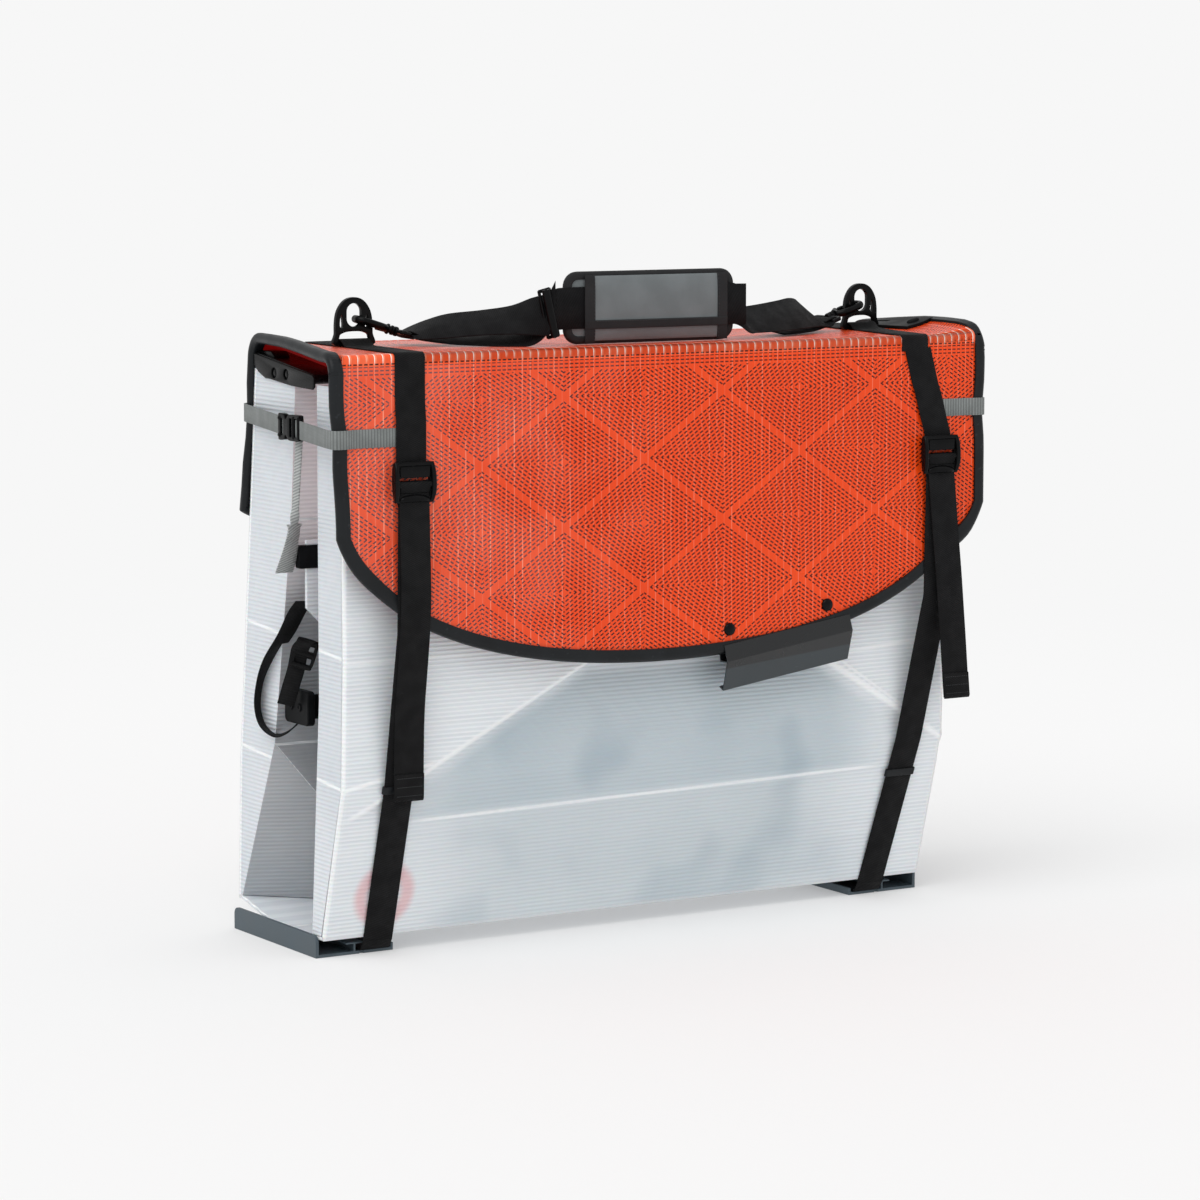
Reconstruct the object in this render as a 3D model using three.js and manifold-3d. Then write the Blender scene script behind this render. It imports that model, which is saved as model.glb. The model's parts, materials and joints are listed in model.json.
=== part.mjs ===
import * as THREE from 'three';
import { mergeVertices } from 'three/addons/utils/BufferGeometryUtils.js';
import Module from 'manifold-3d';

// A folding kayak packed into its carry box, in millimetres. +X is the right end,
// +Y the back and +Z up. The folded hull stands on two rails, a printed board is
// folded over it as the lid, and two webbing straps hold the whole together.
const wasm = await Module();
wasm.setup();

// Clearances and working values
const gap = 0.3; // between pieces that touch
const overrun = 5; // how far a cutter reaches past what it cuts
const weld = 0.001; // points closer than this are one point
const arcSteps = 6; // segments in a quarter round

// Rails under the hull, one at each end
const railSpan = 838; // over both outer faces
const railDepth = 208;
const railWidth = 100;
const railPlate = 3.5;
const railLip = 26;
const railLipWall = 4;
const railLipRound = 8;
const railWebInset = 50; // from the outer face to the middle of the web
const railWebWall = 2.5;
const railWebHeight = 14;
const railFlange = 22;
const railFlangeWall = 2;
const railInnerLip = 9;
const railInnerLipWall = 3;
const railNotch = 2.6; // radius of the notch at each end of the plate
const railNotchInset = 59;

// Folded hull of corrugated sheet: depths count from the middle of the rails
const hullInset = 5; // from the outer face of a rail to the hull's end
const hullSheet = 4.5;
const hullDrop = 37.5; // below the top of the cover
const keelDepth = 8; // the keel crease lies this far ahead of the middle
const lowCrease = 200; // heights of the creases in the outer walls
const lowCreaseSag = 35;
const midCrease = 345;
const pleatTop = 333;
const pleatFoot = 223;
const pleatDrop = 11; // how far a pleat steps in, and how far it steps down
const frontFoot = 113;
const frontFootHeight = 21;
const frontLowDepth = 163;
const frontDepth = 168;
const backFoot = 101;
const backFootHeight = 37;
const backLowDepth = 94;
const backMidDepth = 79;
const backTopDepth = 46;
const frontInnerFoot = 86;
const frontInnerMid = 107;
const frontInnerMidHeight = 298;
const frontInnerTop = 108;
const backInnerFoot = 20;
const backInnerEdgeFoot = 91;
const gussetHeight = 232;
const gussetDepth = 4;
const gussetInset = 184;
const backInnerLow = 10; // these three lie ahead of the middle of the rails
const backInnerLowHeight = 310;
const backInnerMid = 42;
const backInnerMidHeight = 497;
const backInnerTop = 55;
const endGap = 0.7; // between an end panel and the outer wall
const leafFold = 420; // height where an inner leaf folds against the outer wall
const leafFootFront = 99.5;
const leafHeadroom = 4;
// Places on the outer walls, as shares of half the hull's length
const pleatTopShare = 0.21;
const pleatFootShare = 0.72;
const pleatInnerShare = 0.02;
const lowCreaseShare = 0.74;

// Cover board, folded over the hull in three panels
const coverTop = 692;
const coverOverhang = 13; // beyond the outer face of a rail
const coverBoard = 5;
const coverFront = 196; // ahead of the middle of the rails, at the front crease
const coverBack = 50; // behind it, at the back crease
const flapSide = 204; // straight side of the front flap, below the crease
const flapDrop = 368; // lowest point of the front flap, below the crease
const backFlapSide = 196;
const backFlapDrop = 236;
const backFlapLean = 0.1385; // radians
const flapCurveSteps = 22;
// Handles of the curve along a flap's lower edge, as shares of its half width and its bulge
const flapCurveShares = { low: 0.6, side: 0.925, rise: 0.44 };

// Edge trim of the cover, a channel pressed over the board
const trimWidth = 15.5;
const trimWall = 2;
const trimSlot = coverBoard + 2 * gap;
const trimThickness = trimSlot + 2 * trimWall;

// Keeper channel riveted to the front flap, and its rivets
const keeperOffset = 164; // right of the middle
const keeperLength = 180;
const keeperLip = 19; // height of its front lip over the trim, above its web
const keeperDrop = 35; // how far its lower leg reaches below the web
const keeperReach = 3; // how far the bend stands out from the lip
const keeperFootReturn = 17; // how far the lower leg slants back
const keeperWall = 2;
const keeperHook = 6;
const keeperShelf = 27; // height where its leg steps in behind the board
const keeperRivetRise = 36; // rivets above the web
const rivetRadius = 6.5;
const rivetHead = 4;
const rivetPlaces = [-78, 62]; // from the middle of the channel

// Black webbing straps round the box
const strapWidth = 38;
const webbing = 1.6; // thickness of the black webbing
const strapChannelRise = railPlate + gap + webbing / 2;
// How far inside the rails' outer faces each strap runs, at each place on its way round
const strapInsets = {
  left: { rail: 75, back: 91, ring: 85, crease: 75, buckle: 75 },
  right: { rail: 75, back: 34, ring: 49, crease: 74, buckle: 41 },
};
const strapKneeDrop = 312; // a strap leaves the edge of the front flap this far below the cover
const strapClear = 3.4; // between the hull and a lower strap
const backKneeDrop = 224;
const backKneeFootDrop = 262;
const tailEndLeft = 184; // height above the floor
const tailDropRight = 438;
const tailDriftRight = 26;
const tailStandoff = 2.2;

// Ladder buckles
const buckleDrop = 120; // from the top of the cover to the top of the buckle
const buckleLength = 48;
const buckleWidth = 50;
const buckleBar = 5;
const buckleSideBar = 4.5;
const buckleFront = 205.5; // front face, ahead of the middle of the rails
const buckleGrip = 4.5;
const buckleRound = 4;
const loopSlack = 1.2; // room between a bar and the webbing round it
const loopHem = 9;

// Elastic keepers on the lower straps
const keeperBandHeight = 9;
const keeperBandWall = 1.2;
const bandHeightLeft = 198;
const bandHeightRight = 158;

// Rings on the top straps
const ringDepth = 45; // ahead of the middle of the rails
const ringBar = 5;
const ringRise = 4; // bar's axis above the cover
const ringLeg = 4;
const ringHeight = 56;
const ringShoulder = 30; // height where the arch begins, above the bar
const ringHoleWidth = 15;
const ringHoleLow = 21;
const ringHoleHigh = 48;
const ringWindowHigh = 14;
const humpRun = 14;
const humpHalf = 4.9;
const humpRise = 8.7;

// Snap hooks and their swivels
const hookThickness = 6;
const hookBar = 5;
const hookLength = 42;
const hookWidth = 26;
const hookNoseAhead = 4.1; // the nose bar bears on the inner side of the ring's hole
const hookRise = 34; // of the nose bar above the cover
const hookYaw = 0.14; // radians, ahead of the X axis
const hookPitch = 0.2; // radians, downwards
const gateGap = 0.4;
const gateBar = 4;
const shankRadius = 4;
const shankLength = 9;
const swivelWidth = 52;
const swivelLength = 15;
const swivelBar = 4;
const swivelThickness = 5;

// Shoulder strap, its pad and its slider
const shoulderWidth = 48;
const shoulderStraight = 60; // of the strap on each side of the pad
const padWidth = 232;
const padHeight = 84;
const padThickness = 12;
const padEdge = 5;
const padRound = 14;
const padFront = 156; // front face of the pad, ahead of the middle of the rails
const padColumns = 24;
const padRows = 12;
const sleeveWidth = 15;
const sleeveHeight = 54;
const sleeveWall = 1.6;
const sleeveInset = 6;
const sliderHeight = 58;
const sliderWidth = 20;
const sliderBar = 4;
const sliderThickness = 7;
const sliderPlace = 132; // left of the middle

// Grey side belts round the ends
const beltWidth = 25;
const beltWebbing = 1.4;
const beltDrop = 86; // below the top of the cover
const beltBuckleDepth = 75;
const beltBuckleLength = 34;
const beltBuckleHeight = 31;
const beltBuckleThickness = 8;
const beltBuckleBar = 4;
const beltTailDrop = 152;
const beltTailDrift = 40;
const beltTailInset = 7; // inside the belt
const beltTailYaw = 0.55; // radians
const beltTailTurn = 1.57;

// Brackets that carry the cover at both ends of the hull
const bracketLength = 40;
const bracketFront = 104;
const bracketBack = 44;
const bracketFrontHeight = 13;
const bracketChamfer = 22;
const bracketPocket = 5;
const bracketPocketDepth = 3;
const bracketSlotDepth = 4;

// Plate on the cover at the right end
const plateFront = 112;
const plateBack = 8;
const plateThickness = 4;
const plateRound = 12;
const plateSlotLength = 26;
const plateSlotWidth = 4;
const plateStud = 6;
const plateStudHeight = 2.5;

// Seat parts stowed between the two stacks of the hull
const seatSheet = 5;
const seatBackFront = 62;
const seatBackTop = 475;
const seatBackInset = 9; // inside the hull's end
const seatBackRight = 60;
const seatBackNotch = 330;
const seatBackStep = 397;
const capLength = 34;
const capHeight = 24;
const capWall = 2.2;
const panThickness = 30;
const panLeft = 250;
const panRight = 110;
const panHeight = 250;
const panRound = 16;
const footrestThickness = 10;
const footrestDepth = 58;
const footrestFront = 72;
const footrestLow = 262;
const footrestHigh = 302;
const footrestArm = 110;
const footrestArmWall = 8;
const footrestRound = 6;
const seatStrapWidth = 25;
const seatStrapWebbing = 1.5;
const seatBuckleWidth = 30;
const seatBuckleHeight = 36;
const seatBuckleThickness = 6;
const seatBuckleBar = 4;
const bulkheadSheet = 5;
const bulkheadHeight = 300;
const bowBulkheadLeft = -20;
const bowBulkheadInset = 34; // inside the hull's end
const sternBulkheadLeft = 130;
const sternBulkheadInset = 54;
const sternBulkheadDepth = 34;

// Worked out from the sizes above
const railHalf = railSpan / 2;
const railEdge = railDepth / 2;
const hullHalf = railHalf - hullInset;
const hullTop = coverTop - hullDrop;
const coverHalf = railHalf + coverOverhang;
const coverUnder = coverTop - coverBoard;
const hingeHeight = coverTop + 2 * gap + webbing; // crease that the front flap turns about
const keeperFace = coverFront + (trimThickness - coverBoard) / 2 + gap; // inner side of the channel's lip
const strapKnee = coverTop - strapKneeDrop;
const backKnee = coverTop - backKneeDrop;
const backKneeFoot = coverTop - backKneeFootDrop;
const buckleTop = coverTop - buckleDrop;
const buckleFoot = buckleTop - buckleLength;
const beltHeight = coverTop - beltDrop;
const seatBackLeft = hullHalf - seatBackInset;
const frontReach = buckleFront + buckleGrip;
const rearReach = railEdge + gap + webbing;
const originShift = (frontReach - rearReach) / 2; // brings the box of the whole to the origin

const paint = (color, roughness, metalness = 0, opacity = 1) => new THREE.MeshStandardMaterial({
  color,
  roughness,
  metalness,
  opacity,
  transparent: opacity < 1,
});
const finishes = {
  hull: paint('#e9eef1', 0.35, 0, 0.85),
  rail: paint('#4b5558', 0.45, 0.2),
  board: paint('#f05023', 0.3),
  trim: paint('#2f3336', 0.5),
  webbing: paint('#1c1c1d', 0.85),
  plastic: paint('#1f2021', 0.4),
  belt: paint('#84877f', 0.85),
  pad: paint('#6e7170', 0.8),
  foam: paint('#3b3d40', 0.9),
};

// Geometry helpers

function toSolid(geometry) {
  const bare = geometry.clone();
  for (const name of Object.keys(bare.attributes)) {
    if (name !== 'position') bare.deleteAttribute(name);
  }
  const merged = mergeVertices(bare, weld);
  return new wasm.Manifold(new wasm.Mesh({
    numProp: 3,
    vertProperties: new Float32Array(merged.attributes.position.array),
    triVerts: new Uint32Array(merged.index.array),
  }));
}

function fromSolid(solid) {
  const { vertProperties, triVerts } = solid.getMesh();
  const geometry = new THREE.BufferGeometry();
  geometry.setAttribute('position', new THREE.BufferAttribute(new Float32Array(vertProperties), 3));
  geometry.setIndex(new THREE.BufferAttribute(new Uint32Array(triVerts), 1));
  return geometry;
}

function cut(base, ...tools) {
  return fromSolid(tools.reduce((whole, tool) => whole.subtract(toSolid(tool)), toSolid(base)));
}

function join(base, ...others) {
  return fromSolid(others.reduce((whole, other) => whole.add(toSolid(other)), toSolid(base)));
}

// A body from points and triangles, with its faces turned outwards
function closedBody(points, triangles) {
  let volume = 0;
  for (const [a, b, c] of triangles) volume += points[a].dot(points[b].clone().cross(points[c]));
  const turned = volume < 0 ? triangles.map(([a, b, c]) => [a, c, b]) : triangles;
  const numbers = points.flatMap((point) => point.toArray());
  const geometry = new THREE.BufferGeometry();
  geometry.setAttribute('position', new THREE.Float32BufferAttribute(numbers, 3));
  geometry.setIndex(turned.flat());
  return geometry;
}

// An outline extruded along one axis. Plane x takes (y, z) points, y takes (x, z), z takes (x, y).
function slab(plane, outline, from, to, holes = []) {
  const shape = new THREE.Shape(outline.map(([u, v]) => new THREE.Vector2(u, v)));
  const geometry = new THREE.ExtrudeGeometry(shape, { depth: to - from, bevelEnabled: false });
  const [x, y, z] = [new THREE.Vector3(1, 0, 0), new THREE.Vector3(0, 1, 0), new THREE.Vector3(0, 0, 1)];
  const basis = new THREE.Matrix4();
  if (plane === 'x') geometry.applyMatrix4(basis.makeBasis(y, z, x)).translate(from, 0, 0);
  if (plane === 'y') geometry.applyMatrix4(basis.makeBasis(x, z, y.negate())).translate(0, to, 0);
  if (plane === 'z') geometry.translate(0, 0, from);
  if (holes.length === 0) return geometry;
  return cut(geometry, ...holes.map((hole) => slab(plane, hole, from - overrun, to + overrun)));
}

function arc(u, v, radius, start, end, steps = arcSteps) {
  const points = [];
  for (let i = 0; i <= steps; i += 1) {
    const angle = start + ((end - start) * i) / steps;
    points.push([u + radius * Math.cos(angle), v + radius * Math.sin(angle)]);
  }
  return points;
}

function rectangle(u0, v0, u1, v1, radius = 0) {
  if (radius === 0) return [[u0, v0], [u1, v0], [u1, v1], [u0, v1]];
  const quarter = Math.PI / 2;
  return [
    ...arc(u1 - radius, v0 + radius, radius, -quarter, 0),
    ...arc(u1 - radius, v1 - radius, radius, 0, quarter),
    ...arc(u0 + radius, v1 - radius, radius, quarter, 2 * quarter),
    ...arc(u0 + radius, v0 + radius, radius, 2 * quarter, 3 * quarter),
  ];
}

// Offsets an open run of points to its left by a distance, with mitred corners
function offsetRun(run, distance) {
  return run.map(([u, v], i) => {
    const before = run[Math.max(i - 1, 0)];
    const after = run[Math.min(i + 1, run.length - 1)];
    const inward = i > 0 ? new THREE.Vector2(u - before[0], v - before[1]).normalize() : null;
    const outward = i < run.length - 1 ? new THREE.Vector2(after[0] - u, after[1] - v).normalize() : null;
    const along = (inward && outward ? inward.clone().add(outward) : (inward || outward).clone()).normalize();
    const stretch = distance / along.dot(inward || outward);
    return [u - along.y * stretch, v + along.x * stretch];
  });
}

// The outline of a sheet that follows a run of points, between two offsets to its left
const band = (run, near, far) => [...offsetRun(run, near), ...offsetRun(run, far).reverse()];

// Height or depth along a table of [at, value] pairs
function along(table, at) {
  let i = 1;
  while (i < table.length - 1 && at > table[i][0]) i += 1;
  const [[a, left], [b, right]] = [table[i - 1], table[i]];
  return left + ((right - left) * (at - a)) / (b - a);
}

// A strip of webbing along a route. Its width lies along one direction, or one for each point.
function ribbon(route, width, thickness, across = new THREE.Vector3(1, 0, 0)) {
  const points = [];
  route.forEach((point, i) => {
    const before = route[Math.max(i - 1, 0)];
    const after = route[Math.min(i + 1, route.length - 1)];
    const side = (Array.isArray(across) ? across[i] : across).clone().normalize();
    const normalOf = (a, b) => b.clone().sub(a).cross(side).normalize();
    const first = i > 0 ? normalOf(before, point) : normalOf(point, after);
    const second = i < route.length - 1 ? normalOf(point, after) : first;
    const normal = first.clone().add(second).normalize();
    const reach = thickness / 2 / normal.dot(first);
    for (const [a, b] of [[-1, -1], [1, -1], [1, 1], [-1, 1]]) {
      points.push(point.clone().addScaledVector(side, (a * width) / 2).addScaledVector(normal, b * reach));
    }
  });
  const triangles = [[0, 2, 1], [0, 3, 2]];
  for (let i = 0; i < route.length - 1; i += 1) {
    for (let j = 0; j < 4; j += 1) {
      const [a, b] = [4 * i + j, 4 * i + ((j + 1) % 4)];
      // both wide faces are split the same way, so a twisted strip keeps its thickness
      if (j < 2) triangles.push([a, b, b + 4], [a, b + 4, a + 4]);
      else triangles.push([a, b, a + 4], [b, b + 4, a + 4]);
    }
  }
  const last = 4 * (route.length - 1);
  triangles.push([last, last + 1, last + 2], [last, last + 2, last + 3]);
  return closedBody(points, triangles);
}

// A creased sheet: named corners, faces by name, and the step to its other side
function foldedSheet(corners, faces, step) {
  const names = Object.keys(corners);
  const front = names.map((name) => new THREE.Vector3(...corners[name]));
  const points = [...front, ...front.map((corner) => corner.clone().add(step))];
  const count = front.length;
  const triangles = [];
  for (const face of faces) {
    const ring = face.map((name) => names.indexOf(name));
    for (let i = 1; i < ring.length - 1; i += 1) triangles.push([ring[0], ring[i], ring[i + 1]]);
  }
  const edges = new Set(triangles.flatMap(([a, b, c]) => [`${a} ${b}`, `${b} ${c}`, `${c} ${a}`]));
  const back = triangles.map(([a, b, c]) => [c + count, b + count, a + count]);
  const sides = [];
  for (const edge of edges) {
    const [a, b] = edge.split(' ').map(Number);
    if (!edges.has(`${b} ${a}`)) sides.push([b, a, a + count], [b, a + count, b + count]);
  }
  return closedBody(points, [...triangles, ...back, ...sides]);
}

function piece(name, geometry, finish, place = (mesh) => mesh) {
  const mesh = new THREE.Mesh(geometry, finish);
  mesh.name = name;
  place(mesh);
  return mesh;
}

const sideName = (side) => (side < 0 ? 'left' : 'right');
const vec = (x, y, z) => new THREE.Vector3(x, y, z);

// Rails

function rail(side) {
  const web = railWebInset;
  const flange = railWebHeight - railFlangeWall;
  const section = [
    [0, 0], [railWidth, 0], [railWidth, railInnerLip], [railWidth - railInnerLipWall, railInnerLip],
    [railWidth - railInnerLipWall, railPlate], [web + railWebWall / 2, railPlate],
    [web + railWebWall / 2, flange], [web + railFlange / 2, flange],
    [web + railFlange / 2, railWebHeight], [web - railFlange / 2, railWebHeight],
    [web - railFlange / 2, flange], [web - railWebWall / 2, flange], [web - railWebWall / 2, railPlate],
    [railLipWall, railPlate], [railLipWall, railLip], [0, railLip],
  ].map(([inset, height]) => [side * (railHalf - inset), height]);
  const cutters = [];
  for (const end of [-1, 1]) {
    const notch = new THREE.CylinderGeometry(railNotch, railNotch, 2 * railPlate + overrun, 2 * arcSteps);
    notch.rotateX(Math.PI / 2).translate(side * (railHalf - railNotchInset), end * railEdge, railPlate / 2);
    cutters.push(notch);
    const corner = [
      ...arc(railEdge - railLipRound, railLip - railLipRound, railLipRound, 0, Math.PI / 2),
      [railEdge - railLipRound, railLip + overrun], [railEdge + overrun, railLip + overrun],
      [railEdge + overrun, railLip - railLipRound],
    ].map(([depth, height]) => [end * depth, height]);
    const outer = side * railHalf;
    const inner = side * (railHalf - railLipWall);
    cutters.push(slab('x', corner, Math.min(outer, inner) - overrun, Math.max(outer, inner) + overrun));
  }
  const bar = cut(slab('y', section, -railEdge, railEdge), ...cutters);
  return piece(`rail_${sideName(side)}`, bar, finishes.rail);
}

// Hull

const frontLine = [[frontFootHeight, -frontFoot], [lowCrease, -frontLowDepth], [midCrease, -frontDepth],
  [hullTop, -frontDepth]];
const backLine = [[backFootHeight, backFoot], [lowCrease, backLowDepth], [midCrease, backMidDepth],
  [hullTop, backTopDepth]];
const bottomRun = [[-frontFoot + hullSheet + gap, frontFootHeight], [-keelDepth, railWebHeight + gap],
  [backFoot - hullSheet - gap, backFootHeight]];
const bottomFace = offsetRun(bottomRun, hullSheet);
const restOn = (depth) => along(bottomFace, depth) + gap;
const restOver = (front, back) => Math.max(restOn(front), restOn(back));

function hullBottom() {
  return piece('hull_bottom', slab('x', band(bottomRun, 0, hullSheet), -hullHalf, hullHalf), finishes.hull);
}

// An outer wall with its creases and its two raised pleats, facing front (-1) or back (1)
function outerWall(name, facing, line) {
  const foot = line[0][0];
  const stepTop = pleatTop - pleatDrop;
  const low = lowCrease - lowCreaseSag;
  const recess = [[low, along(line, low)], [stepTop, along(line, stepTop) - facing * pleatDrop]];
  const corners = {};
  const faces = [
    ['topL', 'midL', 'pleatL', 'pleatR', 'midR', 'topR'], ['pleatL', 'stepL', 'stepR', 'pleatR'],
    ['stepL', 'stepFootL', 'lowL', 'low', 'lowR', 'stepFootR', 'stepR'],
    ['footL', 'foot', 'low', 'lowL'], ['lowR', 'low', 'foot', 'footR'],
  ];
  for (const side of [-1, 1]) {
    const mark = side < 0 ? 'L' : 'R';
    const put = (key, share, height, table = line) => {
      corners[key + mark] = [side * share * hullHalf, along(table, height), height];
    };
    put('top', 1, hullTop);
    put('mid', 1, midCrease);
    put('edge', 1, lowCrease);
    put('foot', 1, foot);
    put('pleat', pleatTopShare, pleatTop);
    put('pleatFoot', pleatFootShare, pleatFoot);
    put('step', pleatTopShare - pleatInnerShare, stepTop, recess);
    put('stepFoot', pleatFootShare - pleatInnerShare, pleatFoot - pleatDrop, recess);
    put('low', lowCreaseShare, low);
    const turn = ([first, ...rest]) => (side < 0 ? [first, ...rest] : [first, ...rest.reverse()]);
    for (const ring of [['mid', 'edge', 'pleatFoot'], ['mid', 'pleatFoot', 'pleat'],
      ['pleat', 'pleatFoot', 'stepFoot', 'step'], ['edge', 'low', 'stepFoot', 'pleatFoot'],
      ['edge', 'foot', 'low']]) {
      faces.push(turn(ring.map((key) => key + mark)));
    }
  }
  corners.low = [0, along(line, low), low];
  corners.foot = [0, along(line, foot), foot];
  return piece(name, foldedSheet(corners, faces, vec(0, -facing * hullSheet, 0)), finishes.hull);
}

// The flat inner wall of the front stack, with the two panels that close its ends
function frontInnerWall() {
  const foot = restOn(-frontInnerFoot - hullSheet) + gap;
  const face = [[-frontInnerFoot, foot], [-frontInnerMid, frontInnerMidHeight], [-frontInnerTop, hullTop]];
  const inset = hullSheet + endGap;
  const endFoot = -frontFoot + inset + gap;
  const end = [...face, [-frontDepth + inset, hullTop], [-frontDepth + inset, midCrease],
    [-frontLowDepth + inset, lowCrease], [endFoot, restOn(endFoot) + gap]];
  const wall = slab('x', band(face, 0, hullSheet), -hullHalf, hullHalf);
  const ends = [-1, 1].map((side) => slab('x', end, ...endSpan(side)));
  return piece('hull_front_inner', join(wall, ...ends), finishes.hull);
}

const endSpan = (side) => [side * hullHalf, side * (hullHalf - hullSheet)].sort((a, b) => a - b);

// The inner wall of the back stack, with a gusset at each lower corner and its end panels
function backInnerWall() {
  const foot = restOn(backInnerFoot + hullSheet);
  const edgeFoot = restOn(backInnerEdgeFoot + hullSheet);
  const levels = [[-backInnerTop, hullTop], [-backInnerMid, backInnerMidHeight],
    [-backInnerLow, backInnerLowHeight], [gussetDepth, gussetHeight]];
  const corners = {};
  const faces = [];
  for (const side of [-1, 1]) {
    const mark = side < 0 ? 'L' : 'R';
    levels.forEach(([depth, height], i) => {
      corners[`level${i}${mark}`] = [side * hullHalf, depth, height];
    });
    corners[`turn${mark}`] = [side * (hullHalf - gussetInset), gussetDepth, gussetHeight];
    corners[`turnFoot${mark}`] = [side * (hullHalf - gussetInset), backInnerFoot, foot];
    corners[`edgeFoot${mark}`] = [side * hullHalf, backInnerEdgeFoot, edgeFoot];
    for (const ring of [[`level3${mark}`, `turnFoot${mark}`, `turn${mark}`],
      [`level3${mark}`, `edgeFoot${mark}`, `turnFoot${mark}`]]) {
      faces.push(side < 0 ? ring : ring.reverse());
    }
  }
  for (const i of [0, 1]) faces.push([`level${i}L`, `level${i + 1}L`, `level${i + 1}R`, `level${i}R`]);
  faces.push(['level2L', 'level3L', 'turnL', 'turnR', 'level3R', 'level2R']);
  faces.push(['turnL', 'turnFootL', 'turnFootR', 'turnR']);
  const inset = hullSheet + endGap;
  const outside = backLine.map(([height, depth]) => [depth - inset, height]);
  outside[0][1] = restOn(outside[0][0]) + gap;
  const end = [...levels, [backInnerEdgeFoot, edgeFoot], ...outside];
  const wall = foldedSheet(corners, faces, vec(0, hullSheet, 0));
  const ends = [-1, 1].map((side) => slab('x', end, ...endSpan(side)));
  return piece('hull_back_inner', join(wall, ...ends), finishes.hull);
}

// A leaf of the hull folded up inside a stack, touching both of its walls
function foldedLeaf(name, run) {
  const length = hullHalf - hullSheet - overrun;
  return piece(name, slab('x', band(run, -hullSheet / 2, hullSheet / 2), -length, length), finishes.hull);
}

function hull() {
  const clear = hullSheet * 1.5 + 2 * gap;
  const frontLeaf = [[-leafFootFront, restOn(-leafFootFront - hullSheet) + gap],
    [along(frontLine, leafFold) + clear, leafFold], [-frontInnerTop - clear, hullTop - leafHeadroom]];
  const backLeaf = [[gussetDepth + clear + hullSheet, gussetHeight],
    [along(backLine, leafFold) - clear, leafFold], [-backInnerTop + clear + gap, hullTop - leafHeadroom]];
  return [
    hullBottom(),
    outerWall('hull_front_outer', -1, frontLine),
    frontInnerWall(),
    foldedLeaf('hull_front_leaf', frontLeaf),
    outerWall('hull_back_outer', 1, backLine),
    backInnerWall(),
    foldedLeaf('hull_back_leaf', backLeaf),
  ];
}

// Cover board and its trim

// The edge of a flap from the left of the crease, round its lower edge, to the right
function flapRun(half, side, drop) {
  const { low, side: sideShare, rise } = flapCurveShares;
  const bulge = drop - side;
  const curve = new THREE.CubicBezierCurve(
    new THREE.Vector2(-half, -side),
    new THREE.Vector2(-half * sideShare, -side - bulge * (1 - rise)),
    new THREE.Vector2(-half * low, -drop),
    new THREE.Vector2(0, -drop),
  );
  const left = curve.getPoints(flapCurveSteps / 2).map((p) => [p.x, p.y]);
  const right = left.slice(0, -1).map(([u, v]) => [-u, v]).reverse();
  return [[-half, 0], ...left, ...right, [half, 0]];
}

// A flap hanging from z = 0 with its outer face at y = 0 and its thickness towards +y.
// Its two upper corners are notched for the trim along the ends of the top panel.
function flapBoard(run, headroom, notch) {
  const inside = offsetRun(run, trimWall + gap);
  const shoulder = run[run.length - 1][0] - trimWidth - gap;
  const outline = inside.map(([u, v]) => [u, Math.min(v, -notch)]);
  outline.push([shoulder, -notch], [shoulder, -headroom], [-shoulder, -headroom], [-shoulder, -notch]);
  return slab('y', outline, 0, coverBoard);
}

function flapTrim(run, headroom) {
  const middle = coverBoard / 2;
  const raise = (points) => points.map(([u, v]) => [u, v === 0 ? overrun : v]);
  const outer = run.map(([u, v]) => [u, Math.min(v, -headroom)]);
  const body = slab('y', outer, middle - trimThickness / 2, middle + trimThickness / 2);
  const centre = slab('y', raise(offsetRun(run, trimWidth)), -trimThickness, 2 * trimThickness);
  const slot = slab('y', raise(offsetRun(run, trimWall)), middle - trimSlot / 2, middle + trimSlot / 2);
  return cut(body, centre, slot);
}

function leanBack(geometry) {
  return geometry.rotateX(backFlapLean).translate(0, coverBack, coverTop);
}

function cover() {
  const frontRun = flapRun(coverHalf, flapSide, flapDrop);
  const backRun = flapRun(coverHalf, backFlapSide, backFlapDrop);
  const inset = coverHalf - trimWall - gap;
  const panel = rectangle(-inset, -coverFront, inset, coverBack);
  const notch = (coverBoard + trimThickness) / 2 + gap;
  const front = flapBoard(frontRun, coverBoard + gap, notch).translate(0, -coverFront, coverTop);
  const flap = flapBoard(backRun, coverBoard + 4 * gap, notch + 4 * gap);
  const back = leanBack(flap.translate(0, -coverBoard, 0));
  return [
    piece('cover_top', slab('z', panel, coverUnder, coverTop), finishes.board),
    piece('cover_front', front, finishes.board),
    piece('cover_back', back, finishes.board),
    piece('trim_front', flapTrim(frontRun, notch).translate(0, -coverFront, coverTop), finishes.trim),
    rearTrim(backRun),
  ];
}

// The trim along both ends of the top panel and round the back flap, in one piece
function rearTrim(backRun) {
  const back = leanBack(flapTrim(backRun, 0).translate(0, -coverBoard, 0));
  const high = coverTop + (trimThickness - coverBoard) / 2;
  const low = high - trimThickness;
  const slotHigh = coverTop + (trimSlot - coverBoard) / 2;
  const slotLow = slotHigh - trimSlot;
  const end = coverBack + (trimThickness - coverBoard) / 2;
  const bars = [-1, 1].map((side) => {
    const section = [[coverHalf, low], [coverHalf, high], [coverHalf - trimWidth, high],
      [coverHalf - trimWidth, slotHigh], [coverHalf - trimWall, slotHigh], [coverHalf - trimWall, slotLow],
      [coverHalf - trimWidth, slotLow], [coverHalf - trimWidth, low]].map(([u, v]) => [side * u, v]);
    return slab('y', section, -coverFront - (trimThickness - coverBoard) / 2, end);
  });
  const inset = coverHalf - trimWall;
  const room = slab('z', rectangle(-inset, -coverFront, inset, coverBack + gap), slotLow, slotHigh);
  return piece('trim_rear', cut(join(back, ...bars), room), finishes.trim);
}

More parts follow.
